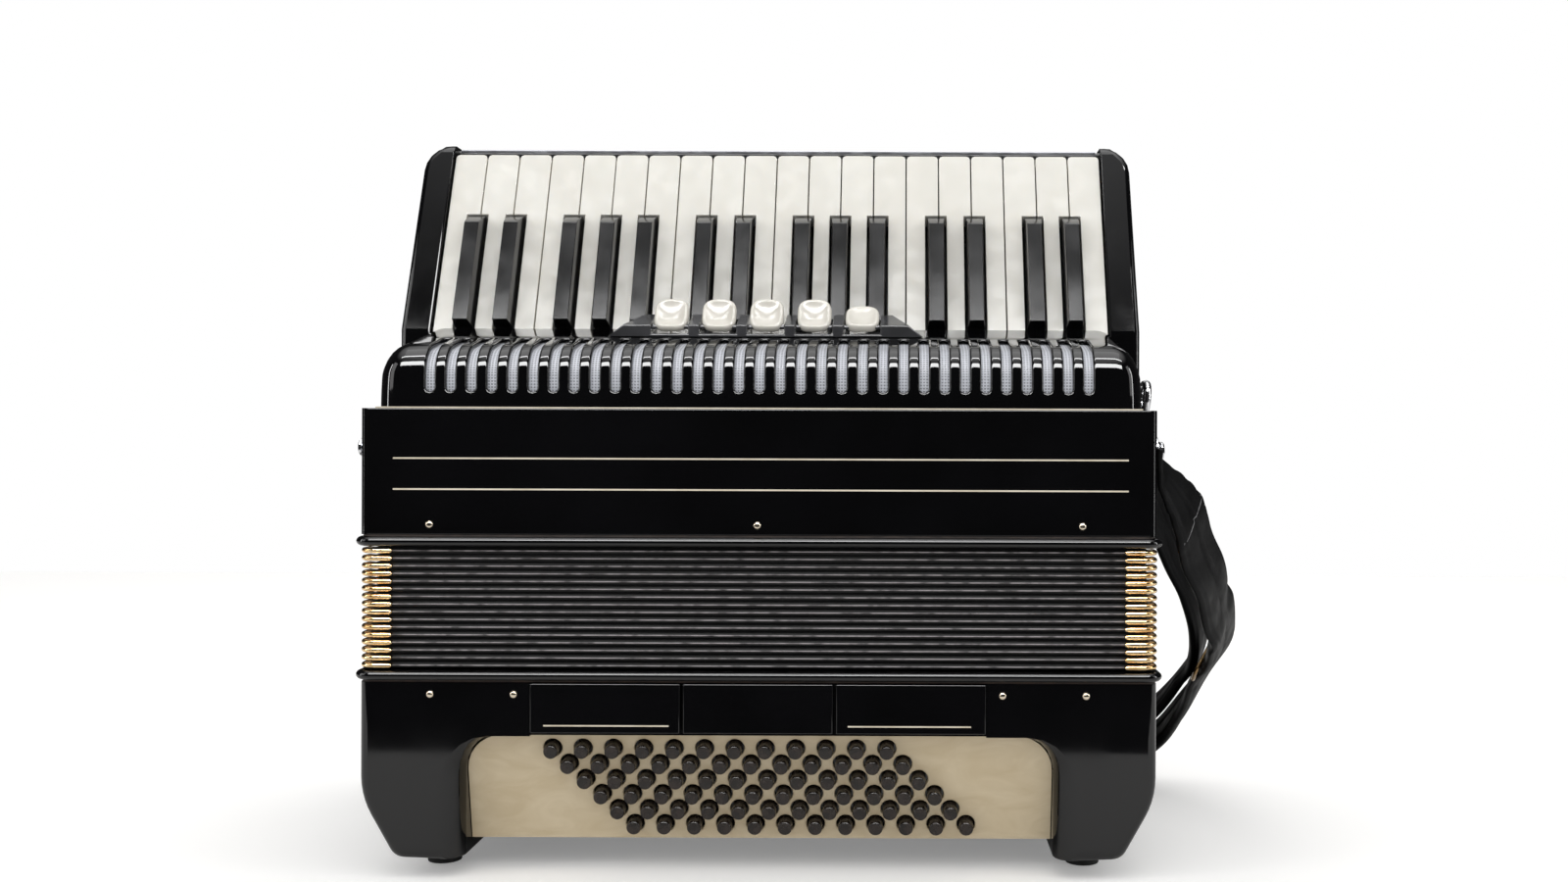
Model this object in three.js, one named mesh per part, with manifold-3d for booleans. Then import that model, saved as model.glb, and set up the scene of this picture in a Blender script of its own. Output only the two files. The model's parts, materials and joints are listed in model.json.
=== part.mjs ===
// A piano accordion with 34 keys and 72 bass buttons, standing on the feet of its bass end.
// Lengths are millimetres. X runs along the keyboard, the front faces -Y, and +Z goes up from
// the bass end through the bellows to the treble end. The origin is the middle of the bottom.
import * as THREE from "three";
import { mergeVertices } from "three/addons/utils/BufferGeometryUtils.js";
import Module from "manifold-3d";

const wasm = await Module();
wasm.setup();

// Body: the two cases and the bellows share one width, which the keyboard and its cheeks give, and
// one depth.
const bodyDepth = 185;
const caseWall = 5;
const caseEdgeRadius = 4;
const fitGap = 0.3;
const cutOver = 2;

// Heights, from the table up.
const footHeight = 9;
const bassHeight = 86.9;
const frameHeight = 5.8;
const foldCount = 16;
const foldPitch = 3.8;
const trebleHeight = 62;

// Bellows: zigzag cards, hollow inside.
const foldDepth = 7;
const foldThickness = 9;
const foldInset = 1.5;
const bellowsCorner = 8;
const frameProud = 2.6;
const frameBore = 20;

// Feet.
const footRadius = 8;
const footInset = 33;

// Bass case: an arch with two legs, and the board of buttons between them.
const legCornerRadius = 40;
const legHeelRadius = 8;
const legHeelRun = 17;
const legHeelRise = 30;
const legWidth = 50.2;
const recessRise = 60.5;
const recessCornerRadius = 18;
const recessFlare = 10;
const reedBarDepth = 16;
const reedBarHeight = 18;
const reedBarSetback = 24;
const reedBarWall = 3;

// Button board and its 72 buttons.
const boardSetback = 9;
const boardTiltDegrees = 12;
const boardThickness = 3;
const boardHeight = 55;
const buttonRows = 6;
const buttonColumns = 12;
const buttonPitch = 15.1;
const buttonRowPitch = 8.05;
const buttonRowShift = 7.95;
const buttonTopMargin = 6.8;
const buttonDiameter = 7.2;
const buttonHoleDiameter = 9.2;
const buttonProud = 6.5;
const rackGap = 9;
const rackThickness = 3;
const rackMargin = 9;
const rackCheekThickness = 3;
const rackCheekDepth = 52;
const rackCheekDrop = 27;
const rackFootMargin = 6;
const rodDiameter = 3.2;

// Bass register plates, let into the front of the bass case.
const registerPlateWidth = 73.4;
const registerPlateSpacing = 75;
const registerPlateHeight = 24.4;
const registerPlateThickness = 2.6;
const registerPlateProud = 1.5;
const registerTravel = 2.2;
const registerStemWidth = 30;
const registerStemHeight = 6;
const registerStemLength = 9;

// Bottom cover of the bass end, air button, hand strap and its adjusting wheel.
const coverPlateThickness = 3;
const coverFrontRise = 6;
const coverBackRise = 27;
const coverBackCorner = 10;
const airButtonDiameter = 11;
const airButtonProud = 6;
const airButtonLength = 16;
const airButtonInset = 24;
const airButtonDepthShare = 0.292;
const airCollarSize = 2;
const airEdgeShare = 0.2;
const handStrapWidthShare = 0.3135;
const handStrapThickness = 4.5;
const handStrapBackShare = 0.257;
const handStrapClearance = 1.5;
const handStrapEndRise = 9.5;
const wheelDiameter = 24;
const wheelThickness = 5;
const wheelToothDepth = 0.9;
const wheelTeeth = 20;
const wheelShaftDiameter = 6;
const wheelShaftLength = 12;
const wheelRise = 36;
const wheelBackset = 50;

// Keyboard: a face that leans back, with 20 white and 14 black keys on one axle.
const keyBaseDepthShare = 0.346;
const keyBaseRise = 43.6;
const keyLeanDegrees = 22.7;
const whitePitch = 18;
const whiteCount = 20;
const whiteGap = 0.7;
const whiteLength = 109;
const whiteThickness = 12;
const whiteTipRadius = 2;
const keyUnderlap = 10;
const blackLength = 69.4;
const blackWidthShare = 0.533;
const blackTaper = 0.9;
const blackProud = 9;
const blackClearance = 1.1;
const blackSlopeLength = 9;
const blackTipDrop = 2.4;
const blackTipShare = 0.67;
const blackStart = 1.5;
const blackPairShift = 1.6;
const blackTripleShift = 2.4;
const leverWidth = 5;
const leverReach = 6;
const axleDepth = 10;
const axleDrop = 18;
const axleDiameter = 3;
const palletLength = 15;
const palletThickness = 3.2;
const palletSpacing = 19;
const whitePalletGap = 4;
const blackPalletWidth = 7;
const armThickness = 4;

// Keyboard frame: two cheeks, a bed under the keys, a back and a rail behind the tips.
const cheekSideGap = 0.6;
const cheekThickness = 15.9;
const cheekOutset = 0.5;
const cheekProud = 2;
const cheekAboveRail = 3.4;
const cheekCornerRadius = 15;
const cheekFrontRadius = 7;
const cheekBackRadius = 12;
const bedGap = 6.5;
const bedThickness = 9;
const backPanelThickness = 5;
const cheekTopDepth = 44.8;
const backStraightRise = 12;
const railGap = 1.3;
const railHeight = 3;
const railFrontDepth = 5;
const railSweep = 12;

// Treble case deck and the reed block under it.
const deckThickness = 4;
const windowSideInset = 12;
const windowFrontInset = 10;
const windowMargin = 4;
const flangeLip = 3;
const flangeThickness = 4;
const reedBlockDepth = 14;
const reedBlockHeight = 32;
const reedBlockEndInset = 10;
const toneHoleWidth = 6;
const toneHoleLength = 9;

// Grille cover with its slots, and the gauze behind them.
const coverFrontInset = 1;
const coverSideInset = 6.5;
const coverTaper = 8;
const coverWall = 3;
const coverCornerRadius = 17;
const coverSlopeDegrees = 13;
const coverBackGap = 2.5;
const slotCount = 33;
const slotEndInset = 27.4;
const slotWidth = 5.3;
const slotFootRise = 8.3;
const slotBackGap = 2.5;
const gauzeThickness = 0.8;
const gauzeMargin = 5;

// Treble registers: five rocking tabs on one rod in a low housing.
const tabCount = 5;
const tabSpacing = 24.7;
const tabWidth = 17.5;
const tabThickness = 4.6;
const tabLength = 16.4;
const tabFoot = 2.8;
const tabCornerRadius = 4;
const tabDishDepth = 1.2;
const tabDishShare = 0.42;
const tabLeanDegrees = 30;
const tabPressDegrees = 20;
const tabSideGap = 0.8;
const housingBackGap = 6.75;
const housingDepth = 19.75;
const housingFloor = 1.5;
const housingFrontHeight = 6.5;
const housingBackHeight = 9;
const housingTopMargin = 6.5;
const housingEndSlope = 17;
const tabPivotHeight = 4.8;
const tabPivotInset = 4.5;
const tabRodDiameter = 2.4;

// Shoulder straps: padded bands, thinner and narrower at both ends.
const strapWidth = 42;
const strapThickness = 7;
const strapEndWidth = 20;
const strapEndThickness = 3;
const strapTableGap = 1.7;
const strapBackGap = 4.5;
const strapNestGap = 1.8;
const strapPadShares = [0.035, 0.09];
const strapSteps = 34;

// Counts that set how fine the facets are, and the merge distance of shared corners.
const cornerSteps = 3;
const bodyCornerSteps = 5;
const keyTipSteps = 2;
const cardCornerSteps = 1;
const frameCornerSteps = 2;
const slotEndSteps = 4;
const roundSides = 8;
const mergeDistance = 1e-4;

// Derived places.
const keyboardHalf = (whiteCount * whitePitch) / 2;
const halfWidth = keyboardHalf + cheekSideGap + cheekThickness - cheekOutset;
const frontY = -bodyDepth / 2;
const backY = bodyDepth / 2;
const bassTop = footHeight + bassHeight;
const bellowsBottom = bassTop + frameHeight;
const bellowsTop = bellowsBottom + foldCount * foldPitch;
const trebleBottom = bellowsTop + frameHeight;
const trebleTop = trebleBottom + trebleHeight;
const recessTop = footHeight + recessRise;
const recessHalf = halfWidth - legWidth;
const keyBaseY = frontY + bodyDepth * keyBaseDepthShare;
const keyBaseZ = trebleTop + keyBaseRise;
const keyLean = THREE.MathUtils.degToRad(keyLeanDegrees);
const boardTilt = THREE.MathUtils.degToRad(boardTiltDegrees);
const coverSlope = THREE.MathUtils.degToRad(coverSlopeDegrees);

const wood = { color: 0x9a7748, roughness: 0.6, metalness: 0 };
const lacquer = { color: 0x0b0b0d, roughness: 0.08, metalness: 0 };
const ivory = { color: 0xf3f1ea, roughness: 0.22, metalness: 0 };
const ebony = { color: 0x121213, roughness: 0.18, metalness: 0 };
const cream = { color: 0xd9cbb0, roughness: 0.35, metalness: 0 };
const cloth = { color: 0x1b191a, roughness: 0.85, metalness: 0 };
const gauze = { color: 0xaeb2bd, roughness: 0.8, metalness: 0 };
const leather = { color: 0x161618, roughness: 0.6, metalness: 0 };
const aluminium = { color: 0xa9abb0, roughness: 0.35, metalness: 1 };

const model = new THREE.Group();

// A closed geometry as a solid for joining and cutting.
function solid(geometry) {
  const bare = new THREE.BufferGeometry();
  bare.setAttribute("position", geometry.getAttribute("position"));
  if (geometry.index) bare.setIndex(geometry.index);
  const merged = mergeVertices(bare, mergeDistance);
  const corners = Array.from(merged.index.array);
  const faces = [];
  for (let i = 0; i < corners.length; i += 3) {
    const [a, b, c] = corners.slice(i, i + 3);
    if (a !== b && b !== c && c !== a) faces.push(a, b, c);
  }
  return new wasm.Manifold(new wasm.Mesh({
    numProp: 3,
    vertProperties: new Float32Array(merged.getAttribute("position").array),
    triVerts: new Uint32Array(faces),
  }));
}

// A solid as a geometry to show.
function surface(body) {
  const mesh = body.getMesh();
  const geometry = new THREE.BufferGeometry();
  geometry.setAttribute("position", new THREE.BufferAttribute(new Float32Array(mesh.vertProperties), 3));
  geometry.setIndex(new THREE.BufferAttribute(new Uint32Array(mesh.triVerts), 1));
  geometry.computeVertexNormals();
  return geometry;
}

function addPiece(parent, name, body, finish) {
  const mesh = new THREE.Mesh(surface(body), new THREE.MeshStandardMaterial(finish));
  mesh.name = name;
  parent.add(mesh);
  return mesh;
}

const joined = (bodies) => bodies.reduce((whole, next) => whole.add(next));

function extruded(outline, length, holes, basis, origin) {
  const shape = new THREE.Shape(outline.map(([a, b]) => new THREE.Vector2(a, b)));
  shape.holes = holes.map((hole) => new THREE.Path(hole.map(([a, b]) => new THREE.Vector2(a, b))));
  const geometry = new THREE.ExtrudeGeometry(shape, { depth: length, bevelEnabled: false, steps: 1 });
  const [along, across, out] = basis.map((axis) => new THREE.Vector3(...axis));
  geometry.applyMatrix4(new THREE.Matrix4().makeBasis(along, across, out).setPosition(...origin));
  return solid(geometry);
}

const xAxis = [1, 0, 0];
const yAxis = [0, 1, 0];
const zAxis = [0, 0, 1];
const minusY = [0, -1, 0];

// Prisms of an outline: of [y, z] points along X, of [x, z] points along Y, of [x, y] points up Z.
const prismX = (outline, x0, x1) => extruded(outline, x1 - x0, [], [yAxis, zAxis, xAxis], [x0, 0, 0]);
const prismY = (outline, y0, y1, holes = []) => extruded(outline, y1 - y0, holes,
  [xAxis, zAxis, minusY], [0, y1, 0]);
const prismZ = (outline, z0, z1) => extruded(outline, z1 - z0, [], [xAxis, yAxis, zAxis], [0, 0, z0]);

const rectangle = (a0, b0, a1, b1) => [[a0, b0], [a1, b0], [a1, b1], [a0, b1]];
const block = (x0, x1, y0, y1, z0, z1) => prismZ(rectangle(x0, y0, x1, y1), z0, z1);

// Points on an arc round (a, b) from one angle to another, in radians.
function arc(a, b, radius, from, to, steps) {
  return Array.from({ length: steps + 1 }, (unused, i) => {
    const angle = from + ((to - from) * i) / steps;
    return [a + radius * Math.cos(angle), b + radius * Math.sin(angle)];
  });
}

const quarter = Math.PI / 2;
const disc = (a, b, radius, sides) => arc(a, b, radius, 0, 4 * quarter, sides).slice(0, sides);

function roundedRectangle(halfA, halfB, radius, steps) {
  const a = halfA - radius;
  const b = halfB - radius;
  return [
    ...arc(a, -b, radius, -quarter, 0, steps),
    ...arc(a, b, radius, 0, quarter, steps),
    ...arc(-a, b, radius, quarter, 2 * quarter, steps),
    ...arc(-a, -b, radius, 2 * quarter, 3 * quarter, steps),
  ];
}

// A skin over rings of equally many points; a closed row of rings has a bore, an open one has ends.
function loft(rings, hasBore) {
  const count = rings[0].length;
  const index = [];
  const spans = hasBore ? rings.length : rings.length - 1;
  for (let ring = 0; ring < spans; ring += 1) {
    const here = ring * count;
    const next = ((ring + 1) % rings.length) * count;
    for (let i = 0; i < count; i += 1) {
      const j = (i + 1) % count;
      index.push(here + i, here + j, next + j, here + i, next + j, next + i);
    }
  }
  for (let i = 1; i < count - 1 && !hasBore; i += 1) {
    const top = spans * count;
    index.push(0, i + 1, i, top, top + i, top + i + 1);
  }
  const geometry = new THREE.BufferGeometry();
  geometry.setAttribute("position", new THREE.Float32BufferAttribute(rings.flat(2), 3));
  geometry.setIndex(index);
  return solid(geometry);
}

// A group turned about X, with a function that gives a body point [y, z] in the group's own frame.
function turnedGroup(parent, originY, originZ, angle) {
  const group = new THREE.Group();
  group.position.set(0, originY, originZ);
  group.rotation.x = angle;
  parent.add(group);
  const inside = (y, z) => [
    (y - originY) * Math.cos(angle) + (z - originZ) * Math.sin(angle),
    (z - originZ) * Math.cos(angle) - (y - originY) * Math.sin(angle),
  ];
  return [group, inside];
}

// A point [y, z] of the keyboard's face: "up" along the keys from their visible base, "out" to the player.
const keyPoint = (up, out) => [
  keyBaseY + up * Math.sin(keyLean) - out * Math.cos(keyLean),
  keyBaseZ + up * Math.cos(keyLean) + out * Math.sin(keyLean),
];

// Where the keyboard's face, moved out or in, meets a height.
function keyPointAtHeight(z, out) {
  const up = (z - keyBaseZ - out * Math.sin(keyLean)) / Math.cos(keyLean);
  return keyPoint(up, out);
}

// An outline whose corners are rounded by the radius listed for each, zero for a sharp one.
function fillet(points, radii, steps = cornerSteps) {
  return points.flatMap(([a, b], i) => {
    if (radii[i] === 0) return [[a, b]];
    const corner = new THREE.Vector2(a, b);
    const before = points[(i + points.length - 1) % points.length];
    const after = points[(i + 1) % points.length];
    const back = new THREE.Vector2(...before).sub(corner).normalize();
    const ahead = new THREE.Vector2(...after).sub(corner).normalize();
    const halfAngle = Math.acos(THREE.MathUtils.clamp(back.dot(ahead), -1, 1)) / 2;
    const toCentre = back.clone().add(ahead).normalize().multiplyScalar(radii[i] / Math.sin(halfAngle));
    const centre = corner.clone().add(toCentre);
    const start = corner.clone().addScaledVector(back, radii[i] / Math.tan(halfAngle)).sub(centre);
    const end = corner.clone().addScaledVector(ahead, radii[i] / Math.tan(halfAngle)).sub(centre);
    let turn = end.angle() - start.angle();
    if (turn > 2 * quarter) turn -= 4 * quarter;
    if (turn < -2 * quarter) turn += 4 * quarter;
    return arc(centre.x, centre.y, radii[i], start.angle(), start.angle() + turn, steps);
  });
}

const mirrored = (outline) => outline.map(([x, z]) => [-x, z]);

// Radius of a faceted hole that clears a rod of the given diameter.
const holeRadius = (diameter) => (diameter / 2 + fitGap) / Math.cos(quarter / (roundSides / 2));

// Key layout: from left to right the notes go down the scale, and a black key stands between two
// whites except at C to B and F to E.
const notes = ["E", "D", "C", "B", "A", "G", "F"];
const blackShifts = {
  ED: -blackPairShift,
  DC: blackPairShift,
  BA: -blackTripleShift,
  AG: 0,
  GF: blackTripleShift,
};
const blackXs = new Map();
for (let edge = 1; edge < whiteCount; edge += 1) {
  const pair = notes[(edge - 1) % notes.length] + notes[edge % notes.length];
  if (pair in blackShifts) blackXs.set(edge, -keyboardHalf + edge * whitePitch + blackShifts[pair]);
}
const blackWidth = whitePitch * blackWidthShare;
const whiteX = (i) => -keyboardHalf + (i + 1 / 2) * whitePitch;
const whiteHalf = (whitePitch - whiteGap) / 2;
const notchHalf = blackWidth / 2 + blackClearance;

// How far the notches beside a white key's tail reach in from its left and right edges.
function whiteNotches(i) {
  const left = blackXs.has(i) ? blackXs.get(i) + notchHalf - (whiteX(i) - whiteHalf) : 0;
  const right = blackXs.has(i + 1) ? whiteX(i) + whiteHalf - (blackXs.get(i + 1) - notchHalf) : 0;
  return [left, right];
}

const whiteTailX = (i) => (whiteNotches(i)[0] - whiteNotches(i)[1]) / 2;

// Rows of pallets on the reed block's top: the front row belongs to the white keys.
const windowHalf = halfWidth - windowSideInset;
const windowY = frontY + windowFrontInset;
const windowDepth = palletSpacing + palletLength + 2 * windowMargin;
const palletRowY = (isBlack) => windowY + windowMargin / 2 + (isBlack ? palletSpacing : 0);
const palletFoot = trebleTop + fitGap;
const palletTop = palletFoot + palletThickness;

function trebleCase() {
  const face = roundedRectangle(halfWidth, backY, caseEdgeRadius, cornerSteps);
  const outer = prismZ(face, trebleBottom, trebleTop);
  const x = halfWidth - caseWall;
  const y = backY - caseWall;
  const hollow = block(-x, x, -y, y, trebleBottom - cutOver, trebleTop - deckThickness);
  const window = block(-windowHalf, windowHalf, windowY, windowY + windowDepth,
    trebleTop - 2 * deckThickness, trebleTop + cutOver);
  return outer.subtract(hollow).subtract(window);
}

// The board under the pallets with a flange below the deck, and a bar of reed chambers per row.
function trebleReedBlock() {
  const x = windowHalf - fitGap;
  const top = trebleTop;
  const flangeTop = top - deckThickness - fitGap;
  const board = block(-x, x, windowY + fitGap, windowY + windowDepth - fitGap,
    flangeTop - flangeThickness, top);
  const lipX = windowHalf + flangeLip;
  const flange = block(-lipX, lipX, windowY - flangeLip, windowY + windowDepth + flangeLip,
    flangeTop - flangeThickness, flangeTop);
  const barX = x - reedBlockEndInset;
  const barBottom = flangeTop - flangeThickness - reedBlockHeight;
  const rowCentre = (isBlack) => palletRowY(isBlack) + palletLength / 2;
  const bars = [false, true].map((isBlack) => block(-barX, barX, rowCentre(isBlack) - reedBlockDepth / 2,
    rowCentre(isBlack) + reedBlockDepth / 2, barBottom, top - deckThickness));
  const toneHole = (holeX, isBlack) => block(holeX - toneHoleWidth / 2, holeX + toneHoleWidth / 2,
    rowCentre(isBlack) - toneHoleLength / 2, rowCentre(isBlack) + toneHoleLength / 2,
    barBottom + flangeThickness, top + cutOver);
  const holes = Array.from({ length: whiteCount }, (unused, i) => toneHole(whiteX(i), false));
  blackXs.forEach((holeX) => holes.push(toneHole(holeX, true)));
  return joined([board, flange, ...bars]).subtract(joined(holes));
}

// The cover's side view, moved in by an inset: up the front, round the corner and back up the slope.
const coverFrontY = frontY + coverFrontInset;
const coverBackY = keyBaseY - coverBackGap;
const coverBaseHalf = halfWidth - coverSideInset;
const housingBackY = coverBackY - housingBackGap;
const housingFrontY = housingBackY - housingDepth;
const slotBackY = housingFrontY - slotBackGap;
function coverSide(inset, endY = coverBackY, foot = trebleTop) {
  const radius = coverCornerRadius - inset;
  const centreY = coverFrontY + coverCornerRadius;
  const slopeStartY = centreY - coverCornerRadius * Math.sin(coverSlope);
  const rise = (coverBackY - slopeStartY) * Math.tan(coverSlope);
  const centreZ = keyBaseZ - rise - coverCornerRadius * Math.cos(coverSlope);
  const round = arc(centreY, centreZ, radius, 2 * quarter, quarter + coverSlope, cornerSteps + 1);
  const [lastY, lastZ] = round[round.length - 1];
  const endZ = lastZ + (endY - lastY) * Math.tan(coverSlope);
  return { round, end: [endY, endZ], foot: [coverFrontY + inset, foot], backFoot: [endY, foot] };
}

function coverOutline(inset, over) {
  const side = coverSide(inset, coverBackY + over, trebleTop - over);
  return [side.backFoot, side.end, ...[...side.round].reverse(), side.foot];
}

// The cover's front view: the ends draw in towards the top.
function coverFace(inset, over) {
  const height = keyBaseRise + coverCornerRadius;
  const shares = [0, 0.3, 0.5, 0.7, 0.85, 1];
  const right = shares.map((share) => [
    coverBaseHalf - inset - coverTaper * share * share,
    trebleTop + height * share,
  ]);
  right[0] = [coverBaseHalf - inset, trebleTop - over];
  return [...right, ...mirrored(right).reverse()];
}

// One slot cutter: round-ended on the front wall and on the slope, and a band between the two.
function slotCutter(x) {
  const half = slotWidth / 2;
  const foot = trebleTop + slotFootRise + half;
  const outer = coverSide(-cutOver);
  const inner = coverSide(coverWall + cutOver);
  const roundY = slotBackY - half * Math.cos(coverSlope);
  const slopeZ = (side, y) => side.end[1] - (side.end[0] - y) * Math.tan(coverSlope);
  const dip = Math.sin(coverSlope);
  const outerBack = [roundY - cutOver * dip, slopeZ(outer, roundY - cutOver * dip)];
  const innerBackY = roundY + (coverWall + cutOver) * dip;
  const band = prismX([
    [outer.foot[0], foot],
    ...outer.round,
    outerBack,
    [innerBackY, slopeZ(inner, innerBackY)],
    ...[...inner.round].reverse(),
    [inner.foot[0], foot],
  ], x - half, x + half);
  const round = arc(x, foot, half, 2 * quarter, 4 * quarter, slotEndSteps);
  const footEnd = prismY(round, outer.foot[0], inner.foot[0]);
  const along = [0, Math.cos(coverSlope), Math.sin(coverSlope)];
  const out = [0, -Math.sin(coverSlope), Math.cos(coverSlope)];
  const skinZ = slopeZ(coverSide(0), roundY);
  const depth = coverWall + cutOver;
  const origin = [x, roundY + depth * dip, skinZ - depth * out[2]];
  const backEnd = extruded(arc(0, 0, half, 0, 2 * quarter, slotEndSteps), depth + cutOver, [],
    [xAxis, along, out], origin);
  return joined([band, footEnd, backEnd]);
}

const slotPitch = (2 * (coverBaseHalf - slotEndInset)) / (slotCount - 1);
const slotX = (i) => (i - (slotCount - 1) / 2) * slotPitch;

function grilleCover() {
  const outer = prismX(coverOutline(0, 0), -halfWidth, halfWidth)
    .intersect(prismY(coverFace(0, 0), frontY, backY));
  const inner = prismX(coverOutline(coverWall, cutOver), -halfWidth, halfWidth)
    .intersect(prismY(coverFace(coverWall, cutOver), frontY, backY));
  const slots = Array.from({ length: slotCount }, (unused, i) => slotCutter(slotX(i)));
  return outer.subtract(inner).subtract(joined(slots));
}

// The gauze lies against the inside of the cover, past the slots on all sides.
function grilleGauze() {
  const backEnd = slotBackY + slotWidth / 2 + gauzeMargin;
  const outer = coverSide(coverWall + fitGap, backEnd, trebleTop + gauzeMargin);
  const inner = coverSide(coverWall + fitGap + gauzeThickness, backEnd, trebleTop + gauzeMargin);
  const back = [inner.end, ...[...inner.round].reverse(), inner.foot];
  const outline = [outer.foot, ...outer.round, outer.end, ...back];
  const half = slotX(slotCount - 1) + slotWidth / 2 + gauzeMargin;
  return prismX(outline, -half, half);
}

// Height of the cover's slope at a place Y.
function slopeTop(y) {
  const [endY, endZ] = coverSide(0).end;
  return endZ - (endY - y) * Math.tan(coverSlope);
}

const tabPivotY = housingFrontY + tabPivotInset;
const tabPivotZ = slopeTop(tabPivotY) + tabPivotHeight;
const tabX = (i) => (i - (tabCount - 1) / 2) * tabSpacing;

// The housing sits on the slope: sloping ends, a pocket for each tab, and the rod they rock on.
function registerHousing() {
  const frontTop = slopeTop(housingFrontY) + housingFrontHeight;
  const backTop = slopeTop(housingBackY) + housingBackHeight;
  const side = [
    [housingFrontY, slopeTop(housingFrontY) + fitGap],
    [housingBackY, slopeTop(housingBackY) + fitGap],
    [housingBackY, backTop],
    [housingFrontY, frontTop],
  ];
  const topHalf = tabX(tabCount - 1) + tabWidth / 2 + housingTopMargin;
  const footHalf = topHalf + housingEndSlope;
  const footZ = slopeTop(housingFrontY);
  const face = [[-footHalf, footZ], [footHalf, footZ], [topHalf, backTop], [-topHalf, backTop]];
  const y0 = housingFrontY - cutOver;
  const y1 = housingBackY + cutOver;
  const whole = prismX(side, -footHalf, footHalf).intersect(prismY(face, y0, y1));
  const lift = fitGap + housingFloor;
  const pocketSide = [
    [y0, slopeTop(y0) + lift],
    [y1, slopeTop(y1) + lift],
    [y1, backTop + cutOver],
    [y0, backTop + cutOver],
  ];
  const half = tabWidth / 2 + tabSideGap;
  const pockets = Array.from({ length: tabCount }, (unused, i) => prismX(pocketSide,
    tabX(i) - half, tabX(i) + half));
  const rodEnd = tabX(tabCount - 1) + half + housingFloor;
  const rod = prismX(disc(tabPivotY, tabPivotZ, tabRodDiameter / 2, roundSides), -rodEnd, rodEnd);
  return whole.subtract(joined(pockets)).add(rod);
}

// A rocking tab round its rod at the origin: upright, with round top corners and a dished face.
function registerTab() {
  const half = tabThickness / 2;
  const middle = tabLength / 2;
  const dishShares = [1, 0.5, 0, -0.5, -1];
  const side = [
    [half, -tabFoot + half],
    [half, tabLength],
    [-half, tabLength],
    ...dishShares.map((share) => [
      -half + tabDishDepth * (1 - share * share),
      middle + tabLength * tabDishShare * share,
    ]),
    [-half, -tabFoot + half],
    [0, -tabFoot],
  ];
  const face = fillet(
    rectangle(-tabWidth / 2, -tabFoot, tabWidth / 2, tabLength),
    [0, 0, tabCornerRadius, tabCornerRadius],
  );
  const blank = prismX(side, -tabWidth / 2, tabWidth / 2)
    .intersect(prismY(face, -tabThickness, tabThickness));
  const hole = prismX(disc(0, 0, holeRadius(tabRodDiameter), roundSides), -tabWidth, tabWidth);
  return blank.subtract(hole);
}

// The keyboard group's frame: Y goes down into the keyboard, Z up along the keys.
const [keyboard, inKeyboard] = turnedGroup(model, keyBaseY, keyBaseZ, -keyLean);
const axleAt = [axleDepth, -axleDrop];

// The hidden lever of a key: from its tail, round the axle and forward to the pallet it lifts.
function keyLever(isBlack, leverX = 0) {
  const palletY = palletRowY(isBlack);
  const [axleY, axleZ] = axleAt;
  const outline = [
    [whiteThickness, -keyUnderlap + leverWidth],
    [armThickness, -keyUnderlap + leverWidth],
    [axleY - leverReach, axleZ],
    inKeyboard(palletY, palletTop + armThickness),
    inKeyboard(palletY, palletTop - palletThickness / 2),
    inKeyboard(palletY + palletLength, palletTop - palletThickness / 2),
    [axleY, axleZ - leverReach],
    [axleY + leverReach * Math.sin(quarter / 2), axleZ - leverReach * Math.sin(quarter / 2)],
  ];
  const lever = prismX(outline, leverX - leverWidth / 2, leverX + leverWidth / 2);
  const foot = rectangle(palletY, palletFoot, palletY + palletLength, palletTop)
    .map(([y, z]) => inKeyboard(y, z));
  const palletHalf = (isBlack ? blackPalletWidth : whitePitch - whitePalletGap) / 2;
  const pallet = prismX(foot, -palletHalf, palletHalf);
  const hole = prismX(disc(axleY, axleZ, holeRadius(axleDiameter), roundSides), -whitePitch, whitePitch);
  return lever.add(pallet).subtract(hole);
}

// A white key: full width past the black keys, and a tail between them.
function whiteKey(i) {
  const [left, right] = whiteNotches(i);
  const shoulder = blackLength + blackClearance;
  const corners = [
    [-whiteHalf + left, -keyUnderlap, 0],
    [whiteHalf - right, -keyUnderlap, 0],
    ...(right > 0 ? [[whiteHalf - right, shoulder, 0], [whiteHalf, shoulder, 0]] : []),
    [whiteHalf, whiteLength, whiteTipRadius],
    [-whiteHalf, whiteLength, whiteTipRadius],
    ...(left > 0 ? [[-whiteHalf, shoulder, 0], [-whiteHalf + left, shoulder, 0]] : []),
  ];
  const outline = fillet(corners.map(([x, z]) => [x, z]), corners.map((corner) => corner[2]), keyTipSteps);
  const plate = prismY(outline, 0, whiteThickness);
  return plate.add(keyLever(false, whiteTailX(i)));
}

// A black key: its cap stands proud, narrows upwards and slopes down at the tip.
function blackKey() {
  const half = blackWidth / 2;
  const topHalf = half - blackTaper;
  const side = [
    [whiteThickness, -keyUnderlap],
    [whiteThickness, blackLength],
    [0, blackLength],
    [-blackProud + blackTipDrop, blackLength - blackSlopeLength * blackTipShare],
    [-blackProud, blackLength - blackSlopeLength],
    [-blackProud, blackStart],
    [blackClearance, blackStart],
    [blackClearance, -keyUnderlap],
  ];
  const section = [[-topHalf, -blackProud], [topHalf, -blackProud], [half, 0], [half, whiteThickness],
    [-half, whiteThickness], [-half, 0]];
  const tall = prismX(side, -half, half);
  return tall.intersect(prismZ(section, -keyUnderlap - cutOver, blackLength + cutOver)).add(keyLever(true));
}

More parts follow.
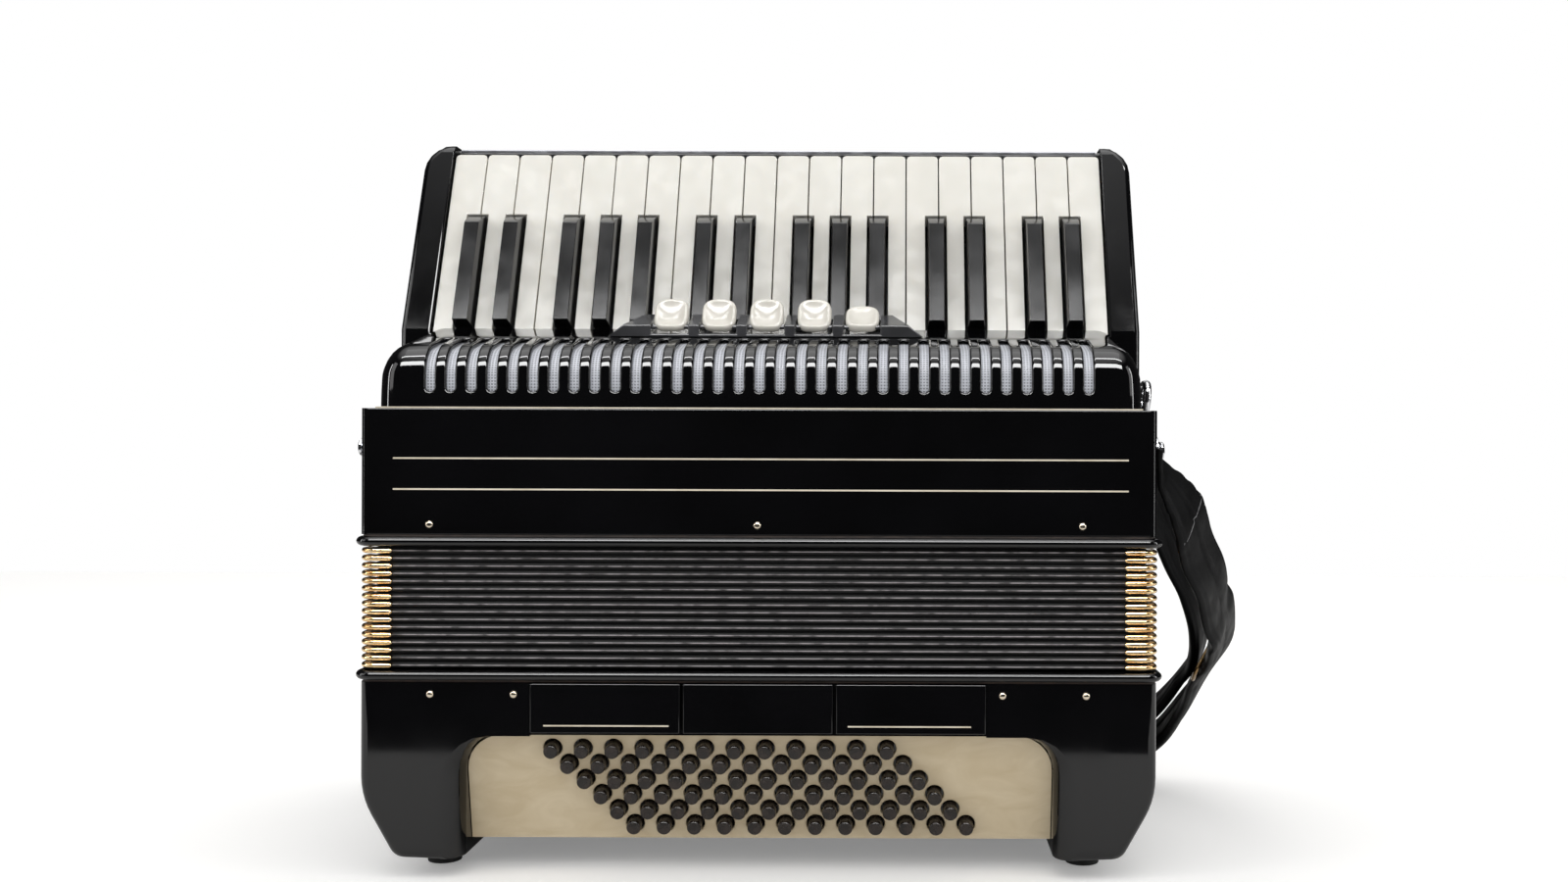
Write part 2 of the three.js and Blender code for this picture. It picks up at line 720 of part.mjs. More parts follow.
// Keyboard frame: cheeks at both ends, and between them the bed, the rail and the back in one bend.
function keyboardFrame() {
  const innerX = keyboardHalf + cheekSideGap;
  const outerX = halfWidth + cheekOutset;
  const railFoot = whiteLength + railGap;
  const railTop = keyPoint(railFoot + railHeight, -railFrontDepth)[1];
  const cheekTop = railTop + cheekAboveRail;
  const cheekFrontY = coverBackY + fitGap;
  const frontUp = (cheekFrontY - keyBaseY + cheekProud * Math.cos(keyLean)) / Math.sin(keyLean);
  const straightTop = trebleTop + backStraightRise;
  const backTopY = keyPointAtHeight(cheekTop, cheekProud)[0] + cheekTopDepth;
  const backRun = backY - backTopY;
  const cheekSide = fillet([
    [cheekFrontY, trebleTop],
    keyPoint(frontUp, cheekProud),
    keyPointAtHeight(cheekTop, cheekProud),
    [backTopY, cheekTop],
    [backY, straightTop],
    [backY, trebleTop],
  ], [0, 0, cheekFrontRadius, cheekBackRadius, 0, 0], bodyCornerSteps);
  const cheekFace = fillet(
    rectangle(innerX, trebleTop, outerX, cheekTop),
    [0, 0, cheekCornerRadius, 0],
    bodyCornerSteps,
  );
  const whole = prismX(cheekSide, -outerX, outerX);
  const right = whole.intersect(prismY(cheekFace, frontY, backY));
  const left = whole.intersect(prismY(mirrored(cheekFace), frontY, backY));

  const bedFront = -(whiteThickness + bedGap);
  const bedBack = bedFront - bedThickness;
  const backLineY = (z) => backY - (backRun * (z - straightTop)) / (cheekTop - straightTop);
  const bend = fillet([
    keyPointAtHeight(trebleTop, bedFront),
    keyPoint(railFoot, bedFront),
    keyPoint(railFoot, -railFrontDepth),
    keyPoint(railFoot + railHeight, -railFrontDepth),
    [backLineY(railTop), railTop],
    [backY, straightTop],
    [backY, trebleTop],
  ], [0, 0, 0, 0, cheekBackRadius, 0, 0]);
  const voidTop = keyPoint(railFoot - bedThickness, bedBack);
  const hollow = [
    keyPointAtHeight(trebleTop - cutOver, bedBack),
    voidTop,
    [backLineY(voidTop[1]) - backPanelThickness, voidTop[1]],
    [backY - backPanelThickness, straightTop],
    [backY - backPanelThickness, trebleTop - cutOver],
  ];
  const seatX = innerX + cutOver;
  const middle = prismX(bend, -seatX, seatX).subtract(prismX(hollow, -innerX, innerX));

  const railFrontY = keyPoint(railFoot + railHeight, -railFrontDepth)[0];
  const sweepShares = [0, 0.35, 0.65, 0.85, 1];
  const sweep = sweepShares.map((share) => [
    innerX - railSweep * (1 - share),
    railTop + (cheekTop - cheekProud - railTop) * share * share,
  ]);
  const sweepFace = [[innerX - railSweep, railTop - railHeight], [seatX, railTop - railHeight],
    [seatX, sweep[sweep.length - 1][1]], ...sweep.reverse()];
  const sweepBackY = backLineY(cheekTop) - cheekBackRadius;
  const sweeps = [sweepFace, mirrored(sweepFace)].map((face) => prismY(face, railFrontY, sweepBackY));
  const [axleY, axleZ] = keyPoint(-axleDrop, -axleDepth);
  const axle = prismX(disc(axleY, axleZ, axleDiameter / 2, roundSides), -seatX, seatX);
  return joined([right, left, middle, ...sweeps, axle]);
}

// One ring of the bellows or of its frames, as [x, y, z] points.
const bodyRing = (z, inset, steps) =>
  roundedRectangle(halfWidth - inset, backY - inset, bellowsCorner, steps).map(([x, y]) => [x, y, z]);

// Folded cards: ridge and valley by turns, with the bore folded the same way.
function bellowsCards() {
  const levels = Array.from({ length: 2 * foldCount + 1 }, (unused, i) => ({
    z: bellowsBottom + fitGap + (i * (bellowsTop - bellowsBottom - 2 * fitGap)) / (2 * foldCount),
    inset: foldInset + (i % 2 === 0 ? foldDepth : 0),
  }));
  const outside = levels.map(({ z, inset }) => bodyRing(z, inset, cardCornerSteps));
  const inside = [...levels].reverse()
    .map(({ z, inset }) => bodyRing(z, inset + foldThickness, cardCornerSteps));
  return loft([...outside, ...inside], true);
}

// A bellows frame: a flat ring whose outside is a half-round bead, proud of the cases.
function bellowsFrame(bottom) {
  const beadShares = [[0, 0], [0.75, 0.2], [1, 0.5], [0.75, 0.8], [0, 1]];
  const outside = beadShares
    .map(([out, up]) => bodyRing(bottom + frameHeight * up, -frameProud * out, frameCornerSteps));
  const inside = [1, 0].map((up) => bodyRing(bottom + frameHeight * up, frameBore, frameCornerSteps));
  return loft([...outside, ...inside], true);
}

// The bass case's front view: an arch whose two legs taper in at the heel. An inset draws its hollow.
function archOutline(inset, over) {
  const x = halfWidth - inset;
  const legX = recessHalf + inset;
  const foot = footHeight + inset;
  const head = recessTop + inset;
  const top = bassTop + over;
  const taper = Math.atan2(legHeelRun, legHeelRise);
  const heelTop = footHeight + legHeelRise + inset * Math.tan(taper / 2);
  const heelX = halfWidth - legHeelRun - inset * Math.tan((quarter - taper) / 2);
  const sideRadius = legCornerRadius - inset;
  const heelRadius = legHeelRadius - inset;
  const innerRadius = recessCornerRadius + inset;
  const right = [[legX, head], [legX, foot], [heelX, foot], [x, heelTop], [x, top]];
  const radii = [innerRadius, 0, heelRadius, sideRadius, 0];
  return fillet([...mirrored(right).reverse(), ...right], [...[...radii].reverse(), ...radii], bodyCornerSteps);
}

// The rolled edge that the legs have towards the board: a cutter that narrows from the front.
function flareCutter() {
  const ring = (y, grow) => fillet(
    rectangle(-recessHalf - grow, footHeight - cutOver, recessHalf + grow, recessTop),
    [0, 0, recessCornerRadius + grow / 2, recessCornerRadius + grow / 2],
    bodyCornerSteps,
  ).map(([x, z]) => [x, y, z]).reverse();
  const depthShares = [0.06, 0.25, 0.55, 1];
  const rings = depthShares.map((share) => ring(
    frontY + recessFlare * share,
    recessFlare * (1 - Math.sqrt(1 - (1 - share) ** 2)),
  ));
  return loft([ring(frontY - cutOver, recessFlare), ring(frontY, recessFlare), ...rings], false);
}

const wheelY = backY - wheelBackset;
const wheelZ = footHeight + wheelRise;
const registerX = (i) => (i - 1) * registerPlateSpacing;
const registerTop = bassTop - fitGap;
const registerStemZ = registerTop - registerPlateHeight / 2;
const registerBackY = frontY - registerPlateProud + registerPlateThickness;

function bassCase() {
  const outer = prismY(archOutline(0, 0), frontY, backY);
  const hollow = prismY(archOutline(caseWall, cutOver), frontY + caseWall, backY - caseWall);
  const pocketX = registerX(2) + registerPlateWidth / 2 + fitGap;
  const pocketY = registerBackY + registerTravel + fitGap;
  const pocket = block(-pocketX, pocketX, frontY - cutOver, pocketY, recessTop - cutOver, bassTop + cutOver);
  const stemX = registerStemWidth / 2 + fitGap;
  const stemZ = registerStemHeight / 2 + fitGap;
  const stemHoles = [0, 1, 2].map((i) => block(registerX(i) - stemX, registerX(i) + stemX, frontY - cutOver,
    frontY + caseWall + cutOver, registerStemZ - stemZ, registerStemZ + stemZ));
  const shaftHole = prismX(disc(wheelY, wheelZ, holeRadius(wheelShaftDiameter), roundSides),
    halfWidth - caseWall - cutOver, halfWidth + cutOver);
  const floor = recessTop + caseWall;
  const barHalf = recessHalf;
  const chamberPitch = (2 * barHalf) / buttonColumns;
  const bars = [0, 1].map((row) => {
    const y = frontY + reedBarSetback + row * (reedBarDepth + caseWall);
    const bar = block(-barHalf, barHalf, y, y + reedBarDepth, floor - caseWall / 2, floor + reedBarHeight);
    const chambers = Array.from({ length: buttonColumns }, (unused, i) => {
      const x = -barHalf + (i + 1 / 2) * chamberPitch;
      const half = chamberPitch / 2 - reedBarWall;
      return block(x - half, x + half, y + reedBarWall, y + reedBarDepth - reedBarWall,
        floor + cutOver, floor + reedBarHeight + cutOver);
    });
    return bar.subtract(joined(chambers));
  });
  const footX = halfWidth - footInset;
  const footY = backY - footInset;
  const feet = [[-footX, -footY], [footX, -footY], [footX, footY], [-footX, footY]]
    .map(([x, y]) => prismZ(disc(x, y, footRadius, 2 * roundSides), 0, footHeight + caseWall / 2));
  const cuts = joined([hollow, pocket, ...stemHoles, shaftHole, flareCutter()]);
  return joined([outer.subtract(cuts), ...bars, ...feet]);
}

// The board's frame: its face looks to the front and slightly down, with X along the rows.
const boardY = frontY + boardSetback;
const boardZ = recessTop - fitGap - boardThickness * Math.sin(boardTilt);
const [board, inBoard] = turnedGroup(model, boardY, boardZ, boardTilt);
const rowZ = (row) => -(buttonTopMargin + row * buttonRowPitch);
const buttonX = (row, column) => (column - (buttonColumns - 1) / 2) * buttonPitch
  + (row - (buttonRows - 1) / 2) * buttonRowShift;
const rows = Array.from({ length: buttonRows }, (unused, row) => row);
const buttonPlaces = rows.flatMap((row) => Array.from({ length: buttonColumns }, (unused, column) => [
  buttonX(row, column),
  rowZ(row),
]));

function buttonBoard() {
  const half = recessHalf - fitGap;
  const radii = [0, 0, recessCornerRadius, recessCornerRadius];
  const outline = fillet(rectangle(-half, -boardHeight, half, 0), radii, bodyCornerSteps);
  const holes = buttonPlaces.map(([x, z]) => disc(x, z, buttonHoleDiameter / 2, roundSides));
  return prismY(outline, 0, boardThickness, holes);
}

// The rack behind the board carries the buttons, one cross rod per row, and two cheeks that hang
// it under the bass case's floor.
function bassMechanism() {
  const rackY = boardThickness + rackGap;
  const half = buttonX(buttonRows - 1, buttonColumns - 1) + rackMargin;
  const foot = rowZ(buttonRows - 1) - rackFootMargin;
  const head = -buttonTopMargin / 2;
  const rack = prismY(rectangle(-half, foot, half, head), rackY, rackY + rackThickness);
  const backOfCheek = boardY + rackGap + rackCheekDepth;
  const cheekOutline = [
    [rackY, foot],
    inBoard(backOfCheek, recessTop - rackCheekDrop),
    inBoard(backOfCheek, recessTop - fitGap),
    [rackY, head],
  ];
  const cheeks = [-half, half - rackCheekThickness]
    .map((x) => prismX(cheekOutline, x, x + rackCheekThickness));
  const rods = rows.map((row) => prismX(
    disc(rackY + rackThickness + 2 * rodDiameter, rowZ(row), rodDiameter / 2, roundSides),
    -half,
    half,
  ));
  const buttonEnd = rackY + rackThickness / 2;
  const buttons = buttonPlaces
    .map(([x, z]) => prismY(disc(x, z, buttonDiameter / 2, roundSides), -buttonProud, buttonEnd));
  return joined([rack, ...cheeks, ...rods, ...buttons]);
}

// A bass register plate with the stem that it pushes into the case.
function registerPlate() {
  const half = registerPlateWidth / 2;
  const foot = registerTop - registerPlateHeight;
  const plate = block(-half, half, frontY - registerPlateProud, registerBackY, foot, registerTop);
  const stem = block(-registerStemWidth / 2, registerStemWidth / 2, registerBackY - cutOver / 2,
    registerBackY + registerStemLength, registerStemZ - registerStemHeight / 2,
    registerStemZ + registerStemHeight / 2);
  return plate.add(stem);
}

// The cover under the bass end rises towards the back, turns up and closes the back.
const boardFootRun = boardThickness * Math.cos(boardTilt) + boardHeight * Math.sin(boardTilt);
const plateFrontY = boardY + boardFootRun + fitGap;
const plateFoot = footHeight + coverFrontRise;
const plateBackFoot = footHeight + coverBackRise;
const plateRun = backY - plateFrontY;
const plateSlope = (plateBackFoot - plateFoot) / plateRun;
const plateZ = (y) => plateFoot + plateSlope * (y - plateFrontY);
const airX = recessHalf - airButtonInset;
const airY = frontY + bodyDepth * airButtonDepthShare;

function bassBackCover() {
  const t = coverPlateThickness;
  const top = recessTop - fitGap;
  const outline = fillet([
    [plateFrontY, plateFoot],
    [backY, plateBackFoot],
    [backY, top],
    [backY - t, top],
    [backY - t, plateBackFoot + t],
    [plateFrontY, plateFoot + t],
  ], [0, coverBackCorner, 0, 0, coverBackCorner - t, 0]);
  const half = recessHalf - fitGap;
  const radii = [0, 0, recessCornerRadius, recessCornerRadius];
  const face = fillet(rectangle(-half, 0, half, top), radii, bodyCornerSteps);
  const hole = prismZ(disc(airX, airY, airButtonDiameter / 2 + 2 * fitGap, 2 * roundSides), 0, recessTop);
  return prismX(outline, -half, half).intersect(prismY(face, frontY, backY + cutOver)).subtract(hole);
}

// The air button: a round-edged plunger with a collar that keeps it behind the cover.
function airButton() {
  const radius = airButtonDiameter / 2;
  const collarRadius = radius + airCollarSize;
  const collarFoot = airButtonProud + coverPlateThickness + 2 * fitGap + collarRadius * plateSlope;
  const collarTop = collarFoot + airCollarSize;
  const profile = [
    [0, 0],
    [radius * (1 - airEdgeShare), 0],
    [radius, radius * airEdgeShare],
    [radius, collarFoot],
    [collarRadius, collarFoot],
    [collarRadius, collarTop],
    [radius / 2, collarTop],
    [radius / 2, airButtonLength],
    [0, airButtonLength],
  ].map(([r, z]) => new THREE.Vector2(r, z));
  const geometry = new THREE.LatheGeometry(profile, 2 * roundSides);
  geometry.rotateX(quarter);
  return solid(geometry);
}

// The hand strap hangs a little between the legs, under the back half of the cover.
function handStrap() {
  const half = recessHalf - fitGap;
  const steps = 2 * roundSides;
  const line = Array.from({ length: steps + 1 }, (unused, i) => (2 * i) / steps - 1)
    .map((share) => [half * share, handStrapClearance + handStrapEndRise * share ** 4]);
  const outline = [...line, ...[...line].reverse().map(([x, z]) => [x, z + handStrapThickness])];
  const y = backY - bodyDepth * handStrapBackShare;
  const halfBand = (bodyDepth * handStrapWidthShare) / 2;
  return prismY(outline, y - halfBand, y + halfBand);
}

// The wheel that tightens the hand strap: a toothed disc on a shaft through the leg's side.
function adjusterWheel() {
  const toothShare = 1 - (2 * wheelToothDepth) / wheelDiameter;
  const rim = disc(0, 0, wheelDiameter / 2, 2 * wheelTeeth)
    .map((point, i) => point.map((v) => v * (i % 2 === 0 ? 1 : toothShare)));
  const x = halfWidth + fitGap;
  const bar = disc(0, 0, wheelShaftDiameter / 2, roundSides);
  const shaft = prismX(bar, x - wheelShaftLength, x + wheelThickness / 2);
  return prismX(rim, x, x + wheelThickness).add(shaft);
}

// Shoulder straps: two padded bands from the right end to the left end, one nested in the other.
// A route is a list of shares: side is 1 beside the right wall and -1 beside the left one, depth
// is 1 where the band clears the back, and height goes from 0 on the table to 1 at the treble top.
const outerRouteShares = [
  [1.001, -0.68, 0.925], [1.001, -0.668, 0.9], [1.024, -0.645, 0.861], [1.063, -0.619, 0.821],
  [1.11, -0.559, 0.763], [1.156, -0.441, 0.682], [1.199, -0.322, 0.616], [1.239, -0.153, 0.54],
  [1.267, -0.017, 0.494], [1.288, 0.254, 0.412], [1.271, 0.492, 0.332], [1.234, 0.746, 0.23],
  [1.165, 0.915, 0.128], [1.062, 0.992, 0.048], [0.92, 1, 0.008], [0.758, 1, 0], [0.379, 1, 0],
  [0, 1, 0], [-0.379, 1, 0], [-0.758, 1, 0], [-0.95, 1, 0.012], [-1.09, 0.985, 0.075],
  [-1.15, 0.9, 0.23], [-1.14, 0.76, 0.45], [-1.09, 0.57, 0.68], [-1.03, 0.42, 0.83],
  [-1.001, 0.36, 0.9], [-1.001, 0.345, 0.93],
];
const innerRouteShares = [
  [1.0035, 0.297, 1.08], [1.0035, 0.3, 1.05], [1.016, 0.308, 0.995], [1.041, 0.356, 0.883],
  [1.082, 0.424, 0.744], [1.132, 0.492, 0.625], [1.18, 0.542, 0.536], [1.218, 0.61, 0.434],
  [1.226, 0.763, 0.328], [1.206, 0.847, 0.268], [1.153, 0.915, 0.18], [1.062, 0.983, 0.092],
  [0.93, 1, 0.023], [0.758, 1, 0], [0.379, 1, 0], [0, 1, 0], [-0.379, 1, 0], [-0.758, 1, 0],
  [-0.93, 1, 0.012], [-1.045, 0.985, 0.075], [-1.095, 0.9, 0.22], [-1.09, 0.8, 0.41],
  [-1.055, 0.71, 0.59], [-1.03, 0.67, 0.7], [-1.003, 0.65, 0.79], [-1.001, 0.644, 0.83],
];
const strapSideX = halfWidth + fitGap + strapEndThickness / 2;
const strapBehindY = backY + strapBackGap + strapWidth / 2;
const outerStrapRest = strapTableGap + strapThickness / 2;
const innerStrapRest = outerStrapRest + strapThickness + strapNestGap;

// A band along its route: its flat side keeps facing the wearer's arm, so its width follows Y.
function shoulderStrap(routeShares, restZ) {
  const route = routeShares.map(([side, depth, height]) => new THREE.Vector3(
    side * strapSideX,
    depth * strapBehindY,
    restZ + height * (trebleTop - restZ),
  ));
  const curve = new THREE.CatmullRomCurve3(route, false, "centripetal");
  const rings = Array.from({ length: strapSteps + 1 }, (unused, i) => {
    const along = i / strapSteps;
    const pad = THREE.MathUtils.smoothstep(Math.min(along, 1 - along), ...strapPadShares);
    const halfBand = THREE.MathUtils.lerp(strapEndWidth, strapWidth, pad) / 2;
    const halfThick = THREE.MathUtils.lerp(strapEndThickness, strapThickness, pad) / 2;
    const round = halfThick / 2;
    const flatHalf = halfBand - round;
    const tangent = curve.getTangentAt(along);
    const wide = new THREE.Vector3(...yAxis).addScaledVector(tangent, -tangent.y).normalize();
    const thick = tangent.clone().cross(wide);
    const centre = curve.getPointAt(along);
    return [
      [halfBand, -round], [halfBand, round], [flatHalf, halfThick], [-flatHalf, halfThick],
      [-halfBand, round], [-halfBand, -round], [-flatHalf, -halfThick], [flatHalf, -halfThick],
    ].map(([w, t]) => centre.clone().addScaledVector(wide, w).addScaledVector(thick, t).toArray());
  });
  return loft(rings, false);
}

const numbered = (name, i) => `${name}_${String(i + 1).padStart(2, "0")}`;

addPiece(model, "bass_case", bassCase(), lacquer);
addPiece(board, "bass_button_board", buttonBoard(), cream);
addPiece(board, "bass_mechanism", bassMechanism(), ebony);
[0, 1, 2].forEach((i) => {
  addPiece(model, `bass_register_${i + 1}`, registerPlate(), lacquer).position.x = registerX(i);
});
addPiece(model, "bass_back_cover", bassBackCover(), lacquer);
addPiece(model, "air_button", airButton(), ivory).position.set(airX, airY, plateZ(airY) - airButtonProud);
addPiece(model, "hand_strap", handStrap(), leather);
addPiece(model, "strap_adjuster_wheel", adjusterWheel(), aluminium).position.set(0, wheelY, wheelZ);

addPiece(model, "bellows_frame_bass", bellowsFrame(bassTop), lacquer);
addPiece(model, "bellows", bellowsCards(), cloth);
addPiece(model, "bellows_frame_treble", bellowsFrame(bellowsTop), lacquer);

addPiece(model, "treble_case", trebleCase(), lacquer);
addPiece(model, "treble_reed_block", trebleReedBlock(), wood);
addPiece(model, "grille_cover", grilleCover(), lacquer);
addPiece(model, "grille_gauze", grilleGauze(), gauze);
addPiece(model, "register_housing", registerHousing(), lacquer);
for (let i = 0; i < tabCount; i += 1) {
  const isPressed = i === tabCount - 1;
  const lean = tabLeanDegrees + (isPressed ? tabPressDegrees : 0);
  const tab = addPiece(model, `register_tab_${i + 1}`, registerTab(), ivory);
  tab.position.set(tabX(i), tabPivotY, tabPivotZ);
  tab.rotation.x = -THREE.MathUtils.degToRad(lean);
}

addPiece(model, "keyboard_frame", keyboardFrame(), lacquer);
for (let i = 0; i < whiteCount; i += 1) {
  addPiece(keyboard, numbered("white_key", i), whiteKey(i), ivory).position.x = whiteX(i);
}
[...blackXs.values()].forEach((x, i) => {
  addPiece(keyboard, numbered("black_key", i), blackKey(), ebony).position.x = x;
});

addPiece(model, "shoulder_strap_outer", shoulderStrap(outerRouteShares, outerStrapRest), leather);
addPiece(model, "shoulder_strap_inner", shoulderStrap(innerRouteShares, innerStrapRest), leather);

// The origin is the middle of the bottom of the whole.
const extent = new THREE.Box3().setFromObject(model, true);
const middle = extent.getCenter(new THREE.Vector3());
model.position.set(-middle.x, -middle.y, -extent.min.z);

export default model;
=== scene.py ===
"""Looks of a piano accordion that stands on its bass end. Millimetres, but metres in the studio."""

import json
import math

import bmesh
import bpy
import numpy as np
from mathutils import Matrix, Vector
from mathutils.geometry import delaunay_2d_cdt

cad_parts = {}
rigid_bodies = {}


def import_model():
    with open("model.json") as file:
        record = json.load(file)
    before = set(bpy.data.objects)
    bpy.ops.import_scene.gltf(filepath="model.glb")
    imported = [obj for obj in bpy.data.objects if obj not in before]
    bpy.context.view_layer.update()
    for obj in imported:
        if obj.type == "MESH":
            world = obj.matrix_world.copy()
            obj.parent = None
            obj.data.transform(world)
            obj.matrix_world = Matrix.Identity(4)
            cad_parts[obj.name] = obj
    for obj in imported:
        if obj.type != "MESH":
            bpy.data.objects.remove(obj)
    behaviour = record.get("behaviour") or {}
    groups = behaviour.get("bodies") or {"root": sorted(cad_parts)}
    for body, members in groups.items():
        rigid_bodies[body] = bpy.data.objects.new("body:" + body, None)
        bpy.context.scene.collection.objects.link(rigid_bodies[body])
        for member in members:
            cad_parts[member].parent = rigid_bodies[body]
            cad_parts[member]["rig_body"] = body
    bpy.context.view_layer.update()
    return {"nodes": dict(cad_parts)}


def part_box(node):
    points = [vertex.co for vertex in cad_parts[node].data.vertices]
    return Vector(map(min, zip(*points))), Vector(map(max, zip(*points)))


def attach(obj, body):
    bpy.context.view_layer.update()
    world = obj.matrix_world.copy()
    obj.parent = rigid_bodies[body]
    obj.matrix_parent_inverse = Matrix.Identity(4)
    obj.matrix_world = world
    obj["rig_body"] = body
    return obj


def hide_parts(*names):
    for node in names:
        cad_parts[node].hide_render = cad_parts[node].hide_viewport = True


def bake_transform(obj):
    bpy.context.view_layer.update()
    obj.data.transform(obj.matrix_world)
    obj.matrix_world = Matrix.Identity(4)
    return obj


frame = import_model()
MM = 0.001

# The case's middle in X and Y is the source's origin, so places read as they do in the CAD.
case_low, case_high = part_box("bass_case")
ORIGIN = np.array([(case_low.x + case_high.x) / 2, (case_low.y + case_high.y) / 2, 0.0])


def place(points):
    """Millimetres from the case's middle to metres in the frame."""
    return np.asarray(points, float) * MM + ORIGIN


# Camera: level, in front of the keyboard and a little to the right of the case's middle.
camera = bpy.data.objects.new("photo_camera", bpy.data.cameras.new("photo_camera"))
bpy.context.scene.collection.objects.link(camera)
camera.location = place((70, -842.5, 215))
camera.rotation_euler = (math.radians(90), math.radians(-0.2), 0)
camera.data.lens = 35.1
camera.data.sensor_width = 36
camera.data.shift_x = -0.075
camera.data.clip_start = 0.05
bpy.context.scene.camera = camera

# Sizes of the CAD that the new pieces meet.
HALF_WIDTH = 196.0
FRONT = -92.5
BACK = 92.5
FOOT_HEIGHT = 9.0
LEG_INNER = 157.0
BASS_TOP = 95.9
FRAME_HEIGHT = 5.8
FOLDS = 16
FOLD_PITCH = 3.8
BELLOWS_LOW = BASS_TOP + FRAME_HEIGHT
BELLOWS_HIGH = BELLOWS_LOW + FOLDS * FOLD_PITCH
TREBLE_LOW = BELLOWS_HIGH + FRAME_HEIGHT
TREBLE_TOP = TREBLE_LOW + 62
CHEEK_INNER = 180.0
CHEEK_OUTER = 181.5
CHEEK_LOW = 232.0
RECESS_TOP = FOOT_HEIGHT + 60.5
RECESS_HALF = 145.8

# Signs of a rectangle's corners, anticlockwise from the front right.
CORNERS = np.array([(1, -1), (1, 1), (-1, 1), (-1, -1)])
ALONG_Y = np.array([0, 1.0, 0])

# Metres and square metres: points this near are one, and faces this large keep their normals.
WELD = 2e-6
LARGE_FACE = 4e-4


# Meshes.


def eased(share):
    """A share from 0 to 1 that starts and ends softly: 3t^2 - 2t^3."""
    return share * share * (3 - 2 * share)


def unit(vectors):
    """Rows of vectors, each divided by its length."""
    return vectors / np.linalg.norm(vectors, axis=-1, keepdims=True)


def circle(sides):
    """Cosine and sine of evenly spaced angles round a circle, as [sides, 2]."""
    angle = np.linspace(0, 2 * np.pi, sides, endpoint=False)
    return np.c_[np.cos(angle), np.sin(angle)]


def quarter(count):
    """Angles that run over a quarter turn."""
    return np.linspace(0, np.pi / 2, count)


def grid_quads(rows, columns, wrap_rows=False, wrap_columns=False):
    """Quads between neighbouring rows and columns of a grid of points, as index fours."""
    r = np.arange(rows if wrap_rows else rows - 1)[:, None]
    c = np.arange(columns if wrap_columns else columns - 1)[None, :]
    over, up = (c + 1) % columns, (r + 1) % rows
    fours = [r * columns + c, r * columns + over, up * columns + over, up * columns + c]
    return np.stack(np.broadcast_arrays(*fours), -1).reshape(-1, 4)


def skin(points, wrap_rows=False, wrap_columns=False, caps=False):
    """A part from a grid of points [rows, columns, 3]; caps close its first and last row."""
    rows, columns = points.shape[:2]
    faces = grid_quads(rows, columns, wrap_rows, wrap_columns).tolist()
    if caps:
        faces.append(list(range(columns)))
        faces.append(list(range(rows * columns - 1, (rows - 1) * columns - 1, -1)))
    return points.reshape(-1, 3), faces


def capped(points):
    """A closed part from rings of points, with a flat face on the first and the last ring."""
    return skin(points, wrap_columns=True, caps=True)


def turned(profile, sides, axis="z", caps=True):
    """A lathe part: the profile's radius and height [n, 2] carried round an axis."""
    r, h = np.asarray(profile, float).T[..., None]
    cosine, sine = circle(sides).T
    points = np.stack([r * cosine, r * sine, h + 0 * cosine], -1)
    return skin(np.roll(points, "zxy".index(axis), -1), wrap_columns=True, caps=caps)


def prism(outline, axis, low, high, caps=True):
    """An outline [n, 2] drawn out along the axis (0, 1 or 2) that it lies across."""
    ends = [np.insert(np.asarray(outline, float), axis, value, 1) for value in (low, high)]
    return skin(np.stack(ends), wrap_columns=True, caps=caps)


def box_part(low, high):
    """A box between two corners."""
    (x0, y0, z0), (x1, y1, z1) = low, high
    return prism([(x0, y0), (x1, y0), (x1, y1), (x0, y1)], 2, z0, z1)


def swept(line, one, two, section):
    """A section [m, 2] or [n, m, 2] carried along a line, laid on its directions one and two."""
    return line[:, None] + section[..., :1] * one[:, None] + section[..., 1:] * two[:, None]


def cord(track, radius, sides, beside=(0.2, 0.1, 1.0)):
    """A round cord with flat ends along a line of points. The line never runs along beside."""
    along = unit(np.gradient(track, axis=0))
    one = unit(np.cross(along, beside))
    points = swept(track, one, np.cross(along, one), radius * circle(sides))
    return capped(points)


def rounded_rectangle(half_x, half_y, radius, corner_steps, side_steps=0):
    """A rounded rectangle as [n, 2] points, anticlockwise, with its outward normals."""
    middles = CORNERS * [half_x - radius, half_y - radius]
    turn = quarter(corner_steps + 1)
    share = np.linspace(0, 1, side_steps + 2)[1:-1, None]
    points, normals = [], []
    for k, middle in enumerate(middles):
        angle = turn + (k - 1) * np.pi / 2
        out = np.c_[np.cos(angle), np.sin(angle)]
        here, there = middle + radius * out[-1], middles[(k + 1) % 4] + radius * out[-1]
        points += [middle + radius * out, here * (1 - share) + there * share]
        normals += [out, np.repeat(out[-1:], side_steps, 0)]
    return np.concatenate(points), np.concatenate(normals)


def frame_loop(centre, across, up, half_across, half_up, corner, bar):
    """A wire frame: a round bar carried round a rounded rectangle laid on two directions."""
    flat, out = rounded_rectangle(half_across, half_up, corner, 4)
    plane = np.stack([across, up])
    path = centre + flat @ plane
    through = np.broadcast_to(np.cross(across, up), path.shape)
    points = swept(path, out @ plane, through, bar * circle(10))
    return skin(points, wrap_rows=True, wrap_columns=True)


def together(parts):
    """Several parts as one list of points and faces."""
    points, faces, start = [], [], 0
    for some, fours in parts:
        points.append(some)
        faces += [[i + start for i in face] for face in fours]
        start += len(some)
    return np.concatenate(points), faces


def repeated(part, offsets):
    """The same part at many places, given as offsets [n, 3]."""
    return together([(part[0] + offset, part[1]) for offset in np.asarray(offsets, float)])


